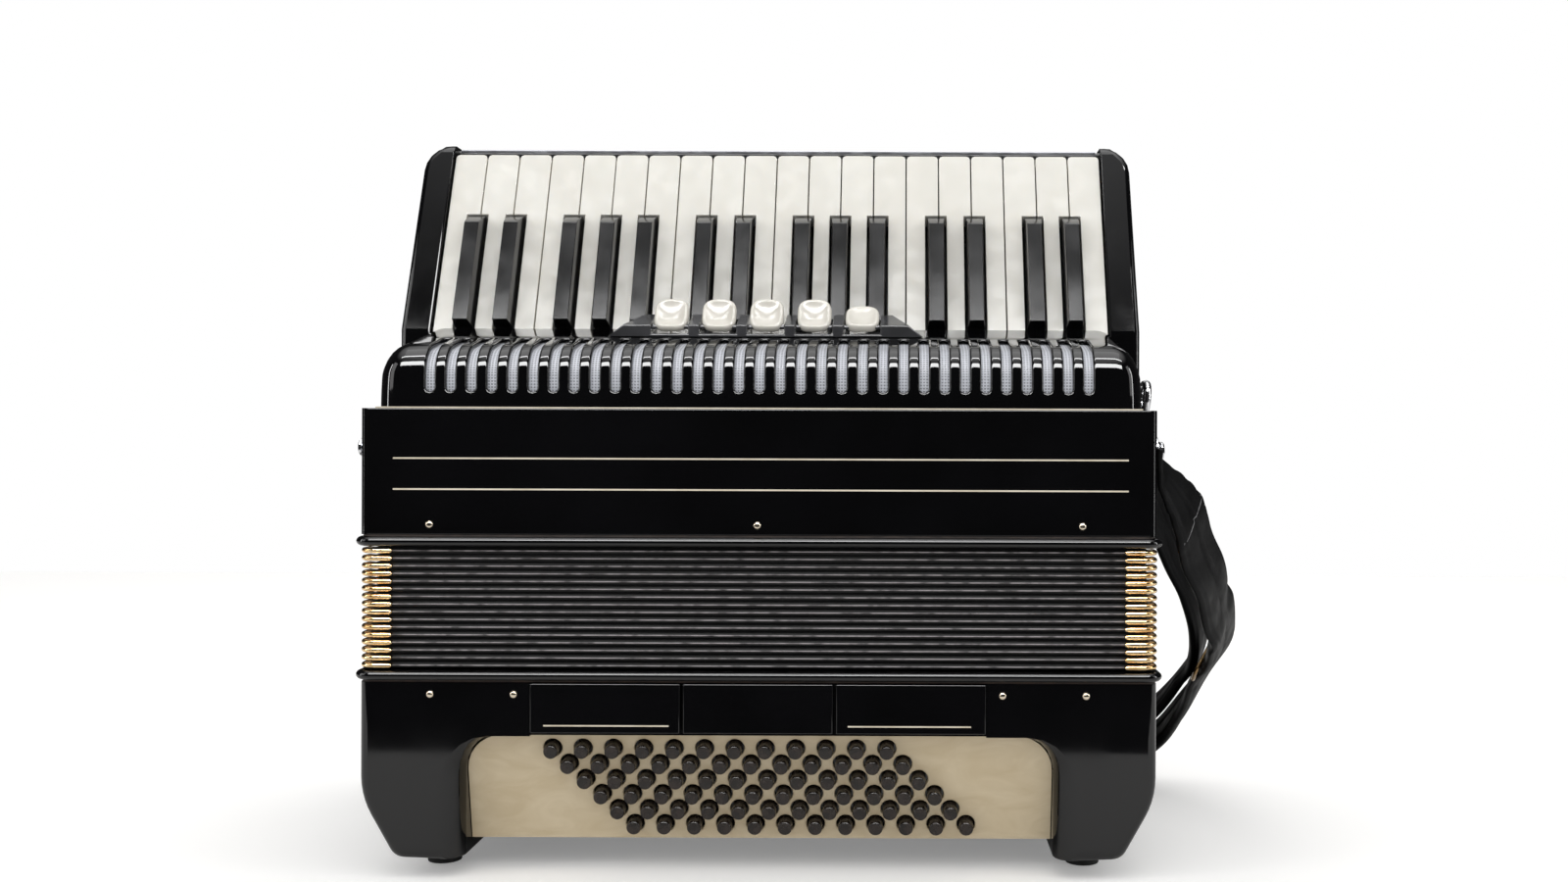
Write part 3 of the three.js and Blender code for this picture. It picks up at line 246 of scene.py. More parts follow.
def make_piece(name, parts, material, body=None, crease=35, weld=True, ridge=None,
               closed=True):
    """A mesh object from parts in millimetres: welded, facing outwards, smooth but for its creases.
    ridge is what each point's attribute of that name holds."""
    points, faces = together(parts)
    mesh = bpy.data.meshes.new(name)
    mesh.from_pydata(place(points).tolist(), [], faces)
    if ridge is not None:
        mesh.attributes.new("ridge", "FLOAT", "POINT").data.foreach_set("value", ridge.astype("f"))
    shape = bmesh.new()
    shape.from_mesh(mesh)
    if weld:
        bmesh.ops.remove_doubles(shape, verts=shape.verts, dist=WELD)
    if closed:
        bmesh.ops.recalc_face_normals(shape, faces=shape.faces)
    shape.to_mesh(mesh)
    shape.free()
    mesh.shade_smooth()
    mesh.set_sharp_from_angle(angle=math.radians(crease))
    return show(name, mesh, material, body)


def show(name, mesh, material, body=None):
    """Puts a mesh in the scene as a piece with one material."""
    piece = bpy.data.objects.new(name, mesh)
    bpy.context.scene.collection.objects.link(piece)
    mesh.materials.clear()
    mesh.materials.append(material)
    if body:
        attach(piece, body)
    return piece


def dressed(node, material, edge, segments=2, corner=50, shares=None):
    """A copy of a CAD node with its flat faces joined up and its sharp edges rounded. shares, a
    function of the edges' ends [n, 2, 3] in millimetres, gives each sharp edge its share of edge.
    Unrounded bends beside a large face are then marked sharp, so that the face stays flat."""
    source = frame["nodes"][node]
    mesh = source.data.copy()
    shape = bmesh.new()
    shape.from_mesh(mesh)
    bmesh.ops.remove_doubles(shape, verts=shape.verts, dist=WELD)
    bmesh.ops.dissolve_limit(shape, angle_limit=math.radians(0.6), verts=shape.verts,
                             edges=shape.edges)
    bmesh.ops.dissolve_degenerate(shape, edges=shape.edges, dist=5e-5)
    bends = np.array([side.calc_face_angle(0) for side in shape.edges])
    areas = np.array([max((face.calc_area() for face in side.link_faces), default=0)
                      for side in shape.edges])
    ends = np.array([[tuple(vert.co) for vert in side.verts] for side in shape.edges])
    shape.to_mesh(mesh)
    shape.free()
    mesh.shade_smooth()
    mesh.set_sharp_from_angle(angle=math.radians(40))
    if shares:
        weight = np.where(bends > math.radians(corner), shares((ends - ORIGIN) / MM), 0)
        rounded = mesh.attributes.new("bevel_weight_edge", "FLOAT", "EDGE")
        rounded.data.foreach_set("value", weight.astype("f"))
        if "sharp_edge" not in mesh.attributes:
            mesh.attributes.new("sharp_edge", "BOOLEAN", "EDGE")
        mark = mesh.attributes["sharp_edge"]
        sharp = np.zeros(len(bends), bool)
        mark.data.foreach_get("value", sharp)
        beside_flat = (areas > LARGE_FACE) & (bends > math.radians(3)) & (weight == 0)
        mark.data.foreach_set("value", sharp | beside_flat)
    piece = show(node + "_shell", mesh, material, source["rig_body"])
    rounding = piece.modifiers.new("rounded edges", "BEVEL")
    rounding.width = edge * MM
    rounding.segments = segments
    rounding.limit_method = "WEIGHT" if shares else "ANGLE"
    rounding.angle_limit = math.radians(corner)
    rounding.use_clamp_overlap = not shares
    flats = piece.modifiers.new("flat faces stay flat", "WEIGHTED_NORMAL")
    flats.weight = 100
    flats.keep_sharp = True
    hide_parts(node)


# Materials.


def linear(code):
    """A written sRGB colour as linear light, with alpha 1."""
    share = np.array([int(code[i:i + 2], 16) / 255 for i in (1, 3, 5)])
    light = np.where(share <= 0.04045, share / 12.92, ((share + 0.055) / 1.055) ** 2.4)
    return (*light.tolist(), 1.0)


def add(tree, kind, settings=None, links=None):
    """Adds one node: its settings by name, and its inputs as values or as sockets to link."""
    made = tree.nodes.new("ShaderNode" + kind)
    for key, value in (settings or {}).items():
        setattr(made, key, value)
    for key, value in (links or {}).items():
        if isinstance(value, bpy.types.NodeSocket):
            tree.links.new(value, made.inputs[key])
        else:
            made.inputs[key].default_value = value
    return made


def feed(node, socket, value):
    """Links a value into one input of a node that is already there."""
    node.id_data.links.new(value, node.inputs[socket])


def maths(operation, one, two):
    """A sum on a socket and a socket or number."""
    return add(one.id_data, "Math", {"operation": operation}, {0: one, 1: two}).outputs[0]


def ranged(value, low, high, to_low=0.0, to_high=1.0, kind="LINEAR"):
    """A socket's value, carried from the range low to high to another range."""
    return add(value.id_data, "MapRange", {"interpolation_type": kind}, {
        "Value": value, "From Min": low, "From Max": high, "To Min": to_low, "To Max": to_high,
    }).outputs[0]


def noise(where, size, detail, **more):
    """Noise of a real size in millimetres."""
    links = {"Vector": where, "Scale": 1000 / size, "Detail": detail, **more}
    return add(where.id_data, "TexNoise", links=links).outputs["Fac"]


def waves(where, direction, pitch, distortion=0.0):
    """Straight waves with a real pitch in millimetres. The node's own is pi / 10 over its scale."""
    links = {"Vector": where, "Scale": 1000 / pitch * math.pi / 10, "Distortion": distortion}
    return add(where.id_data, "TexWave", {"bands_direction": direction}, links).outputs["Fac"]


def shaded(shader, share, dark, light, low=0.35, high=0.65):
    """Base colour that runs between two colours as a socket goes from low to high."""
    ramp = add(shader.id_data, "ValToRGB", links={"Fac": share})
    for end, position, colour in zip(ramp.color_ramp.elements, (low, high), (dark, light)):
        end.position = position
        end.color = linear(colour)
    feed(shader, "Base Color", ramp.outputs["Color"])


def relief(shader, height, strength, depth):
    """Bump from a height socket, depth in millimetres."""
    links = {"Height": height, "Strength": strength, "Distance": depth * MM}
    feed(shader, "Normal", add(shader.id_data, "Bump", links=links).outputs["Normal"])


def surface(name, colour, mottle=None, gloss=None, grain=None, **sockets):
    """A material with one Principled shader, whose whole-surface values sit on its own sockets.
    Three kinds of noise have a real size: mottle (dark, light, size) between two colours, gloss
    (size, low, high) from wiping and wear, and grain (size, detail, strength, depth) in relief."""
    material = bpy.data.materials.new(name)
    material.use_nodes = True
    shader = material.node_tree.nodes["Principled BSDF"]
    shader.inputs["Base Color"].default_value = linear(colour)
    for key, value in sockets.items():
        shader.inputs[key.replace("_", " ")].default_value = value
    where = add(material.node_tree, "TexCoord").outputs["Object"]
    if mottle:
        dark, light, size, *ends = mottle
        shaded(shader, noise(where, size, 4), dark, light, *ends)
    if gloss:
        size, low, high = gloss
        feed(shader, "Roughness", ranged(noise(where, size, 6), 0.35, 0.7, low, high))
    if grain:
        size, detail, strength, depth = grain
        relief(shader, noise(where, size, detail), strength, depth)
    return material, shader, where


def celluloid_lacquer(name="celluloid sheet, lacquered and buffed black", gloss=(0.035, 0.09)):
    """Celluloid on plywood, buffed: deep black, mirror gloss, faint wiping marks, soft waves."""
    return surface(name, "#060607", ("#050506", "#09090b", 60), (25, *gloss), (45, 1, 0.25, 0.12),
                   IOR=1.5)[0]


def cast_acrylic():
    """Cast acrylic key tops, buffed: warm white, light goes a little way in, faint clouding."""
    return surface("acrylic, cast and buffed warm white", "#f1efe6", ("#efece3", "#f3f1e9", 40),
                   (9, 0.12, 0.24), IOR=1.49, Subsurface_Weight=0.15,
                   Subsurface_Radius=(0.001, 0.0009, 0.0007))[0]


def moulded_plastic(name, dark, light, gloss, size=10):
    """Moulded plastic: even colour with slight flow marks, and the gloss of its mould."""
    return surface(name, dark, (dark, light, size), (size, *gloss), (1.2, 3, 0.15, 0.03),
                   IOR=1.46)[0]


def metal(name, colour, gloss):
    """A plated or bare metal: its own colour, with fine working marks in its gloss and relief."""
    return surface(name, colour, None, (6, *gloss), (0.8, 4, 0.2, 0.02), Metallic=1.0)[0]


def gilt_brass():
    """Pressed brass, gilt: bright gold, darker in patches where fingers and age have dulled it."""
    return surface("brass, pressed and gilt", "#e8c48c", ("#d2a468", "#f2d6a6", 7, 0.3, 0.6),
                   (5, 0.14, 0.28), Metallic=1.0)[0]


def rubber():
    """Moulded rubber: dark grey, matt, with a dusty bloom."""
    return surface("rubber, moulded black", "#151515", ("#111111", "#232322", 4), None,
                   (0.6, 4, 0.4, 0.08), Roughness=0.75)[0]


def pearl_board():
    """Champagne pearl celluloid, satin: long drifting clouds of a lighter shade across it."""
    material, shader, where = surface("celluloid sheet, satin champagne", "#cdbb9c",
                                      gloss=(18, 0.28, 0.4), IOR=1.5)
    long = add(shader.id_data, "Mapping", links={"Vector": where, "Scale": (1, 1, 2.2)})
    clouds = noise(long.outputs["Vector"], 26, 5, Distortion=1.4)
    shaded(shader, clouds, "#c6b493", "#d3c3a5", 0.3, 0.7)
    return material


def planed_wood():
    """Spruce, planed: long straight grain along the keyboard, satin."""
    material, shader, where = surface("spruce, planed", "#b98d58", Roughness=0.6)
    long = add(shader.id_data, "Mapping", links={"Vector": where, "Scale": (0.04, 1, 1)})
    rings = noise(long.outputs["Vector"], 2.2, 5)
    shaded(shader, rings, "#8c6335", "#c79c66")
    relief(shader, rings, 0.2, 0.1)
    return material


def bellows_cloth():
    """Cloth-covered card: near-black weave, with a light grey line on each ridge that is partly
    wear on the tape and partly a painted highlight.
    """
    material, shader, where = surface("cotton cloth, glued on card and black", "#171516",
                                      Sheen_Weight=0.08, Sheen_Roughness=0.4)
    ridge = add(shader.id_data, "Attribute", {"attribute_name": "ridge"}).outputs["Fac"]
    # Painted highlight and wear: each ridge top turns light grey, broken up in patches by noise.
    patch = ranged(noise(where, 7, 5), 0.36, 0.56, 0.35)
    ridge_sheen_and_wear = maths("MULTIPLY", ranged(ridge, 0.74, 0.98), patch)
    shaded(shader, ridge_sheen_and_wear, "#0e0c0d", "#b5b0b1", 0.1, 0.9)
    feed(shader, "Roughness", ranged(ridge, 0.6, 1.0, 0.8, 0.38))
    # Threads are really 0.3 mm apart and are drawn 1.8 mm apart, or they would not show.
    relief(shader, waves(where, "X", 1.8, 1.0), 0.25, 0.06)
    return material


def woven_gauze():
    """Silver-grey gauze: warp and weft cross in the sheet's own UV, dark between the threads."""
    material, shader, _ = surface("rayon gauze, plain weave silver grey", "#b4b8c4", Roughness=0.5,
                                  Sheen_Weight=0.4)
    where = add(shader.id_data, "UVMap", {"uv_map": "sheet"}).outputs["UV"]
    # Threads are really 0.4 mm apart and are drawn 1.5 mm apart, or they would not show.
    weave = maths("MAXIMUM", waves(where, "X", 1.5), waves(where, "Y", 1.5))
    shaded(shader, weave, "#8e919b", "#e2e5ee", 0.35, 0.8)
    relief(shader, weave, 0.5, 0.25)
    return material


def pebbled_leather(name="imitation leather, pressed pebble grain", colour="#141416", pebble=1.1):
    """PVC-coated cloth with a pressed pebble grain: dark, half gloss, lighter where rubbed."""
    material, shader, where = surface(name, colour, ("#070708", "#111112", 18), (12, 0.45, 0.62),
                                      IOR=1.5, Specular_IOR_Level=0.09)
    cells = add(shader.id_data, "TexVoronoi", {"feature": "SMOOTH_F1"},
                {"Vector": where, "Scale": 1000 / pebble})
    relief(shader, cells.outputs["Distance"], 0.35, 0.12)
    return material


lacquer = celluloid_lacquer()
enamel = celluloid_lacquer("aluminium, pressed and stove-enamelled black", (0.03, 0.07))
acrylic = cast_acrylic()
black_key_plastic = moulded_plastic("phenolic plastic, moulded and buffed black", "#0b0b0c",
                                    "#111113", (0.12, 0.2), 30)
# The register housing is dark plastic; its mid-grey colour is a painted reflection of the light
# from above.
housing_plastic_painted_sheen = moulded_plastic("phenolic plastic, dark, with painted grey reflection", "#3a3a3c", "#47474a",
                                  (0.1, 0.2), 14)
ivory_plastic = moulded_plastic("celluloid acetate, moulded ivory white", "#dfdbd0", "#e6e2d8",
                                (0.14, 0.22))
button_plastic = moulded_plastic("phenolic plastic, moulded brown black", "#17120f", "#2a211c",
                                 (0.2, 0.34), 4)
line_celluloid = moulded_plastic("celluloid line, inlaid cream", "#ddd2bc", "#ece3d0", (0.25, 0.35))
champagne = pearl_board()
bronze = metal("steel, bronze plated", "#8d7350", (0.25, 0.4))
nickel = metal("brass, nickel plated and domed", "#ddd0bb", (0.12, 0.22))
chrome = metal("steel, chrome plated", "#d9dadd", (0.05, 0.14))
steel = metal("nickel silver, drawn wire", "#b9b7b0", (0.18, 0.3))
wheel_metal = metal("aluminium, knurled and anodised", "#9b9ca1", (0.3, 0.42))
gilt = gilt_brass()
cloth = bellows_cloth()
gauze_cloth = woven_gauze()
leather = pebbled_leather()
thread = moulded_plastic("polyester thread, waxed grey", "#4b4a4c", "#6a696b", (0.5, 0.7), 2)
smooth_leather = pebbled_leather("cowhide, dyed black and finished", "#171616", 0.8)
foot_rubber = rubber()
spruce = planed_wood()
bare_wood = moulded_plastic("beech, stained brown and sealed", "#2c2019", "#3d2d22", (0.5, 0.7), 8)


# Studio, in metres and watts.


FLOOR_GLOW = 0.215
SOFT_LIGHT = 0.8
LAMP_TARGET = np.array([0.0, 0.0, 0.2])
LAMPS = (
    ("top_softbox", (0.0, -0.15, 1.6), (1.5, 0.8), 3.4),
    ("left_softbox", (-1.5, -0.8, 0.8), (0.5, 1.0), 3.5),
    ("right_softbox", (1.6, -0.6, 0.8), (0.4, 1.0), 2.5),
    ("front_strip", (0.0, -1.0, 1.12), (1.8, 0.3), 36),
    ("high_strip", (0.0, -0.5, 1.42), (1.8, 0.07), 9),
    ("left_strip", (-1.5, -0.35, 0.45), (0.08, 1.1), 4),
    ("right_strip", (1.5, -0.35, 0.45), (0.08, 1.1), 4),
    ("back_softbox", (0.2, 1.5, 1.2), (1.4, 0.5), 2.5),
)


def studio_floor():
    """A matt white table, which camera rays see a little lighter, as light as the surround."""
    left, right, front, back, drop = -1.6, 1.6, -0.42, 1.6, -0.0004
    shape = bpy.data.meshes.new("studio_floor")
    corners = [(left, front, drop), (right, front, drop), (right, back, drop), (left, back, drop)]
    shape.from_pydata(corners, [], [(0, 1, 2, 3)])
    paper, shader, _ = surface("paper, matt white backdrop roll", "#f7f6f4", Roughness=0.95,
                               Emission_Color=(1, 1, 1, 1))
    seen = add(shader.id_data, "LightPath").outputs["Is Camera Ray"]
    feed(shader, "Emission Strength", maths("MULTIPLY", seen, FLOOR_GLOW))
    show("studio_floor", shape, paper)


def studio():
    """Lamps that face the instrument, of which the strips only draw lines on gloss, and a white
    surround."""
    studio_floor()
    for name, spot, size, power in LAMPS:
        lamp = bpy.data.lights.new(name, "AREA")
        lamp.shape = "RECTANGLE"
        lamp.size, lamp.size_y = size
        lamp.energy = power
        holder = bpy.data.objects.new(name, lamp)
        bpy.context.scene.collection.objects.link(holder)
        holder.location = spot
        x, y, z = LAMP_TARGET - spot
        holder.rotation_euler = (math.atan2(math.hypot(x, y), -z), 0, math.atan2(-x, y))
        holder.visible_diffuse = not name.endswith("strip")
    world = bpy.data.worlds.new("white studio")
    world.use_nodes = True
    bpy.context.scene.world = world
    tree = world.node_tree
    sky = tree.nodes["Background"]
    sky.inputs["Color"].default_value = (1, 1, 1, 1)
    rays = add(tree, "LightPath").outputs
    where = add(tree, "TexCoord").outputs["Generated"]
    upward = add(tree, "SeparateXYZ", links={"Vector": where}).outputs["Z"]
    # Mirror surfaces see a dim room low down and the white ceiling above it.
    room = ranged(upward, 0.7, 0.98, 0.03, 1.9, "SMOOTHSTEP")
    gloss = maths("MULTIPLY", rays["Is Glossy Ray"], room)
    clear = maths("MAXIMUM", rays["Is Camera Ray"], rays["Is Transmission Ray"])
    soft = maths("MULTIPLY", rays["Is Diffuse Ray"], SOFT_LIGHT)
    feed(sky, "Strength", maths("MAXIMUM", maths("MAXIMUM", gloss, clear), soft))
    bpy.context.scene.view_settings.view_transform = "Standard"


# CAD pieces with rounded edges.


def edge_lengths(ends):
    """The length of each edge."""
    return np.linalg.norm(ends[:, 0] - ends[:, 1], axis=1)


def long_shares(ends, share):
    """A share for edges over 3 mm long, and none for shorter ones, whose rounding would overlap."""
    return np.where(edge_lengths(ends) > 3, share, 0.0)


def upright_shares(ends):
    """A case's four upright corners are rounded in full, and its other long edges a seventh."""
    x, y, _ = np.abs(ends).mean(1).T
    is_corner = (x > HALF_WIDTH - 0.5) & (y > BACK - 0.5) & (np.ptp(ends[..., 2], 1) > 5)
    return np.where(is_corner, 1.0, long_shares(ends, 0.14))


def leg_shares(ends):
    """The bass case's outline is rounded in full at the front and back, and nothing else is."""
    x, y, z = np.abs(ends).mean(1).T
    is_outline = (y > BACK - 0.3) & (np.ptp(ends[..., 1], 1) < 0.1) & (x > LEG_INNER)
    return np.where(is_outline & (z < BASS_TOP - 0.5), 1.0, 0.0)


def cheek_shares(ends):
    """The cheeks' outer edges are rounded in full, and their long inner edges a third."""
    x, _, z = np.abs(ends).mean(1).T
    inner = (x > CHEEK_INNER) & (x <= CHEEK_OUTER) & (edge_lengths(ends) > 20)
    outer_edge = (x > CHEEK_OUTER) & (z > CHEEK_LOW)
    return np.where(outer_edge, 1.0, np.where(inner, 0.3, long_shares(ends, 0.15)))


def dress_cad_pieces():
    """Materials and rounded edges for the pieces whose CAD shape is right."""
    dressed("treble_case", lacquer, 4.0, 4, shares=upright_shares)
    dressed("bass_case", lacquer, 4.5, 4, shares=leg_shares)
    dressed("bass_back_cover", lacquer, 0.6)
    dressed("keyboard_frame", lacquer, 3.0, 4, corner=40, shares=cheek_shares)
    dressed("register_housing", housing_plastic_painted_sheen, 0.6, 3)
    dressed("air_button", ivory_plastic, 0.6)
    dressed("strap_adjuster_wheel", wheel_metal, 0.3)
    dressed("treble_reed_block", spruce, 0.3)
    for i in range(3):
        dressed(f"bass_register_{i + 1}", lacquer, 0.5)
    for name in frame["nodes"]:
        if name.startswith("white_key"):
            dressed(name, acrylic, 0.7, 3)
        if name.startswith("black_key"):
            dressed(name, black_key_plastic, 0.8, 3, corner=30)


# Bellows.


FOLD_LOW = BELLOWS_LOW + 0.3
FOLD_STEP = (BELLOWS_HIGH - BELLOWS_LOW - 0.6) / FOLDS
FOLD_DEPTH = 7
FOLD_WALL = 1.6
FOLD_INSET = 1.5
FRAME_WALL = 19.8
CORNER_RADIUS = 8.0
CORNER_REACH = 8.7
CORNER_PROUD = 0.7


def round_body(path, out, up):
    """A closed section, its points out and up [n], carried round a path and its normals."""
    ring, normal = path
    flat = ring[None] + normal[None] * out[:, None, None]
    heights = np.broadcast_to(up[:, None, None], (len(up), len(ring), 1))
    return skin(np.concatenate([flat, heights], -1), wrap_rows=True, wrap_columns=True)


def blend_over(piece):
    """Bakes a piece's place into its mesh."""
    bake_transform(piece)


def bellows_fold(i):
    """One fold as a closed ring: its outside goes in by depth |2u - 1|^1.7 from ridge to valley.
    Its foot sits i / FOLDS of the way up the bellows, and its top one share more."""
    u = np.linspace(0, 1, 11)
    inset = FOLD_DEPTH * np.abs(2 * u - 1) ** 1.7
    inset = np.concatenate([inset, inset[::-1] + FOLD_WALL])
    low = FOLD_LOW + FOLD_STEP * i
    path = rounded_rectangle(HALF_WIDTH - FOLD_INSET, BACK - FOLD_INSET, 9, 6, 12)
    part = round_body(path, -inset, low + FOLD_STEP * np.concatenate([u, u[::-1]]))
    ridge = np.repeat(np.concatenate([1 - np.abs(2 * u - 1), np.zeros(len(u))]), len(path[0]))
    piece = make_piece(f"bellows_fold_{i + 1:02d}", [part], cloth, crease=60,
                       weld=False, ridge=ridge)
    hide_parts("bellows")
    blend_over(piece)


def corner_section():
    """The metal corner's section as [n, 2] (outward, up): a walled U bent over the ridge."""
    turn = np.linspace(-0.5, 0.5, 9) * np.pi * 0.98
    nose = np.c_[1.2 * np.cos(turn) - 1.15, 1.28 * np.sin(turn)]
    inner = np.c_[0.85 * np.cos(turn) - 1.2, 0.95 * np.sin(turn)][::-1]
    return np.concatenate([[(-4.2, -0.95)], nose, [(-4.2, 0.95), (-4.2, 0.65)], inner,
                           [(-4.2, -0.65)]])


def bellows_corners(i):
    """Four brass corners on one ridge: the section carried round each corner, its ends tucked in."""
    out, up = corner_section().T[:, None, :, None]
    flat = np.array([0.0, 0.05, 0.16, 0.45, 1.0])
    taper = np.array([0.35, 0.75, 0.95, 1, 1])
    turn = quarter(9)[1:-1]
    draw = np.concatenate([taper, np.ones(len(turn)), taper[::-1]])[:, None, None]
    out = out * np.where(out > -4, draw, 1) - (1 - draw) * 0.5
    slide = CORNER_REACH * np.concatenate([flat - 1, np.zeros(len(turn)), 1 - flat[::-1]])
    height = FOLD_LOW + FOLD_STEP * (i + 0.5)
    parts = []
    inset = CORNER_RADIUS - CORNER_PROUD
    for k, middle in enumerate(CORNERS * [HALF_WIDTH - inset, BACK - inset]):
        first = (k - 1) * np.pi / 2
        angle = first + np.concatenate([0 * flat, turn, 0 * flat + np.pi / 2])
        outs, ahead = np.c_[np.cos(angle), np.sin(angle)], np.c_[-np.sin(angle), np.cos(angle)]
        line = middle + CORNER_RADIUS * outs + ahead * slide[:, None]
        points = np.concatenate([line[:, None] + outs[:, None] * out, height + up * draw], -1)
        parts.append(capped(points))
    piece = make_piece(f"bellows_corners_{i + 1:02d}", parts, gilt, crease=50)
    blend_over(piece)


def bellows_frame(node, low, seam_below, body):
    """A frame as a smooth bead round the body: a half oval that stands 3 mm proud, with a thin seam
    of bare wood between it and its case. The bore behind it is 20 mm in."""
    seam, gap, height = 0.9, 0.02, FRAME_HEIGHT - 0.04
    turn = np.linspace(-np.pi / 2, np.pi / 2, 13)
    bead = (height - seam) / 2
    middle = low + gap + (seam if seam_below else 0) + bead
    foot = low + (gap if seam_below else height - seam)
    path = rounded_rectangle(HALF_WIDTH, BACK, 6, 8, 12)
    oval_out = np.array([-FRAME_WALL, *3.0 * np.cos(turn), -FRAME_WALL])
    oval_up = middle + bead * np.array([-1, *np.sin(turn), 1])
    seam_out = np.array([-FRAME_WALL, -0.4, -0.4, -FRAME_WALL])
    seam_up = foot + np.array([0, 0, seam, seam])
    for part, out, up, material, slot, crease in (
            ("_bead", oval_out, oval_up, lacquer, "black_frames", 50),
            ("_seam", seam_out, seam_up, bare_wood, None, 30)):
        piece = make_piece(node + part, [round_body(path, out, up)], material, body, crease,
                           weld=False)
        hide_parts(node)


# Grille.


COVER_FRONT = FRONT + 1
COVER_BACK = -30.99
COVER_HALF = 189.5
COVER_LEAN = 8
COVER_RISE = 43.6
COVER_RADIUS = 17.0
COVER_END_RADIUS = 13.0
COVER_WALL = 2.2
SLOPE = math.radians(13)
ARC_Y = COVER_FRONT + COVER_RADIUS
SLOPE_Y = ARC_Y - COVER_RADIUS * math.sin(SLOPE)
ARC_Z = (TREBLE_TOP + COVER_RISE - (COVER_BACK - SLOPE_Y) * math.tan(SLOPE)
         - COVER_RADIUS * math.cos(SLOPE))
WALL_RUN = ARC_Z - TREBLE_TOP
ARC_RUN = COVER_RADIUS * (math.pi / 2 - SLOPE)
SLOPE_RUN = (COVER_BACK - SLOPE_Y) / math.cos(SLOPE)
SLOTS = 33
SLOT_PITCH = 2 * (COVER_HALF - 27.4) / (SLOTS - 1)
SLOT_HALF = 2.3
SLOT_ROLL = 1.2
SLOT_FOOT = 8.3
SLOT_END_Y = -62.57
CLOTH_HALF = 169.0


def cover_profile(along, depth):
    """Y and Z on the cover's side view: up the front, round the arc, up the slope, a depth in."""
    angle = np.pi - np.clip((along - WALL_RUN) / COVER_RADIUS, 0, np.pi / 2 - SLOPE)
    y = ARC_Y + (COVER_RADIUS - depth) * np.cos(angle)
    z = ARC_Z + (COVER_RADIUS - depth) * np.sin(angle)
    below = np.minimum(along - WALL_RUN, 0)
    beyond = np.maximum(along - WALL_RUN - ARC_RUN, 0)
    return y + beyond * math.cos(SLOPE), z + below + beyond * math.sin(SLOPE)


def cover_edge(along, fall=1.0):
    """The cover's half width at a run along its side view: it leans in by the height squared."""
    height = (cover_profile(along, 0.0)[1] - TREBLE_TOP) / (COVER_RISE + COVER_RADIUS)
    return COVER_HALF - COVER_LEAN * (height * fall) ** 2


def end_walls(rows):
    """The cover's two ends: an outer and an inner wall that drop from the rounded end to the case,
    joined at the foot and at the back."""
    rise = rows[rows < WALL_RUN + 1e-6]
    fall = rise[::-1][None] / WALL_RUN
    along = rows[len(rise) - 1:, None]
    y, z = cover_profile(along, COVER_END_RADIUS)
    count_rows, count = len(along), len(rise)
    quads = grid_quads(count_rows, count)
    size = count_rows * count
    faces = [quads, quads + size]
    foot = np.arange(count_rows - 1) * count + count - 1
    back = np.arange(count - 1) + (count_rows - 1) * count
    for line, step in ((foot, count), (back, 1)):
        faces.append(np.stack([line, line + step, line + step + size, line + size], -1))
    parts = []
    for sign in (-1, 1):
        walls = [np.stack([sign * (cover_edge(along, fall) - depth), y + 0 * fall,
                           TREBLE_TOP + (z - TREBLE_TOP) * fall], -1) for depth in (0, COVER_WALL)]
        parts.append((np.concatenate(walls).reshape(-1, 3), np.concatenate(faces).tolist()))
    return parts


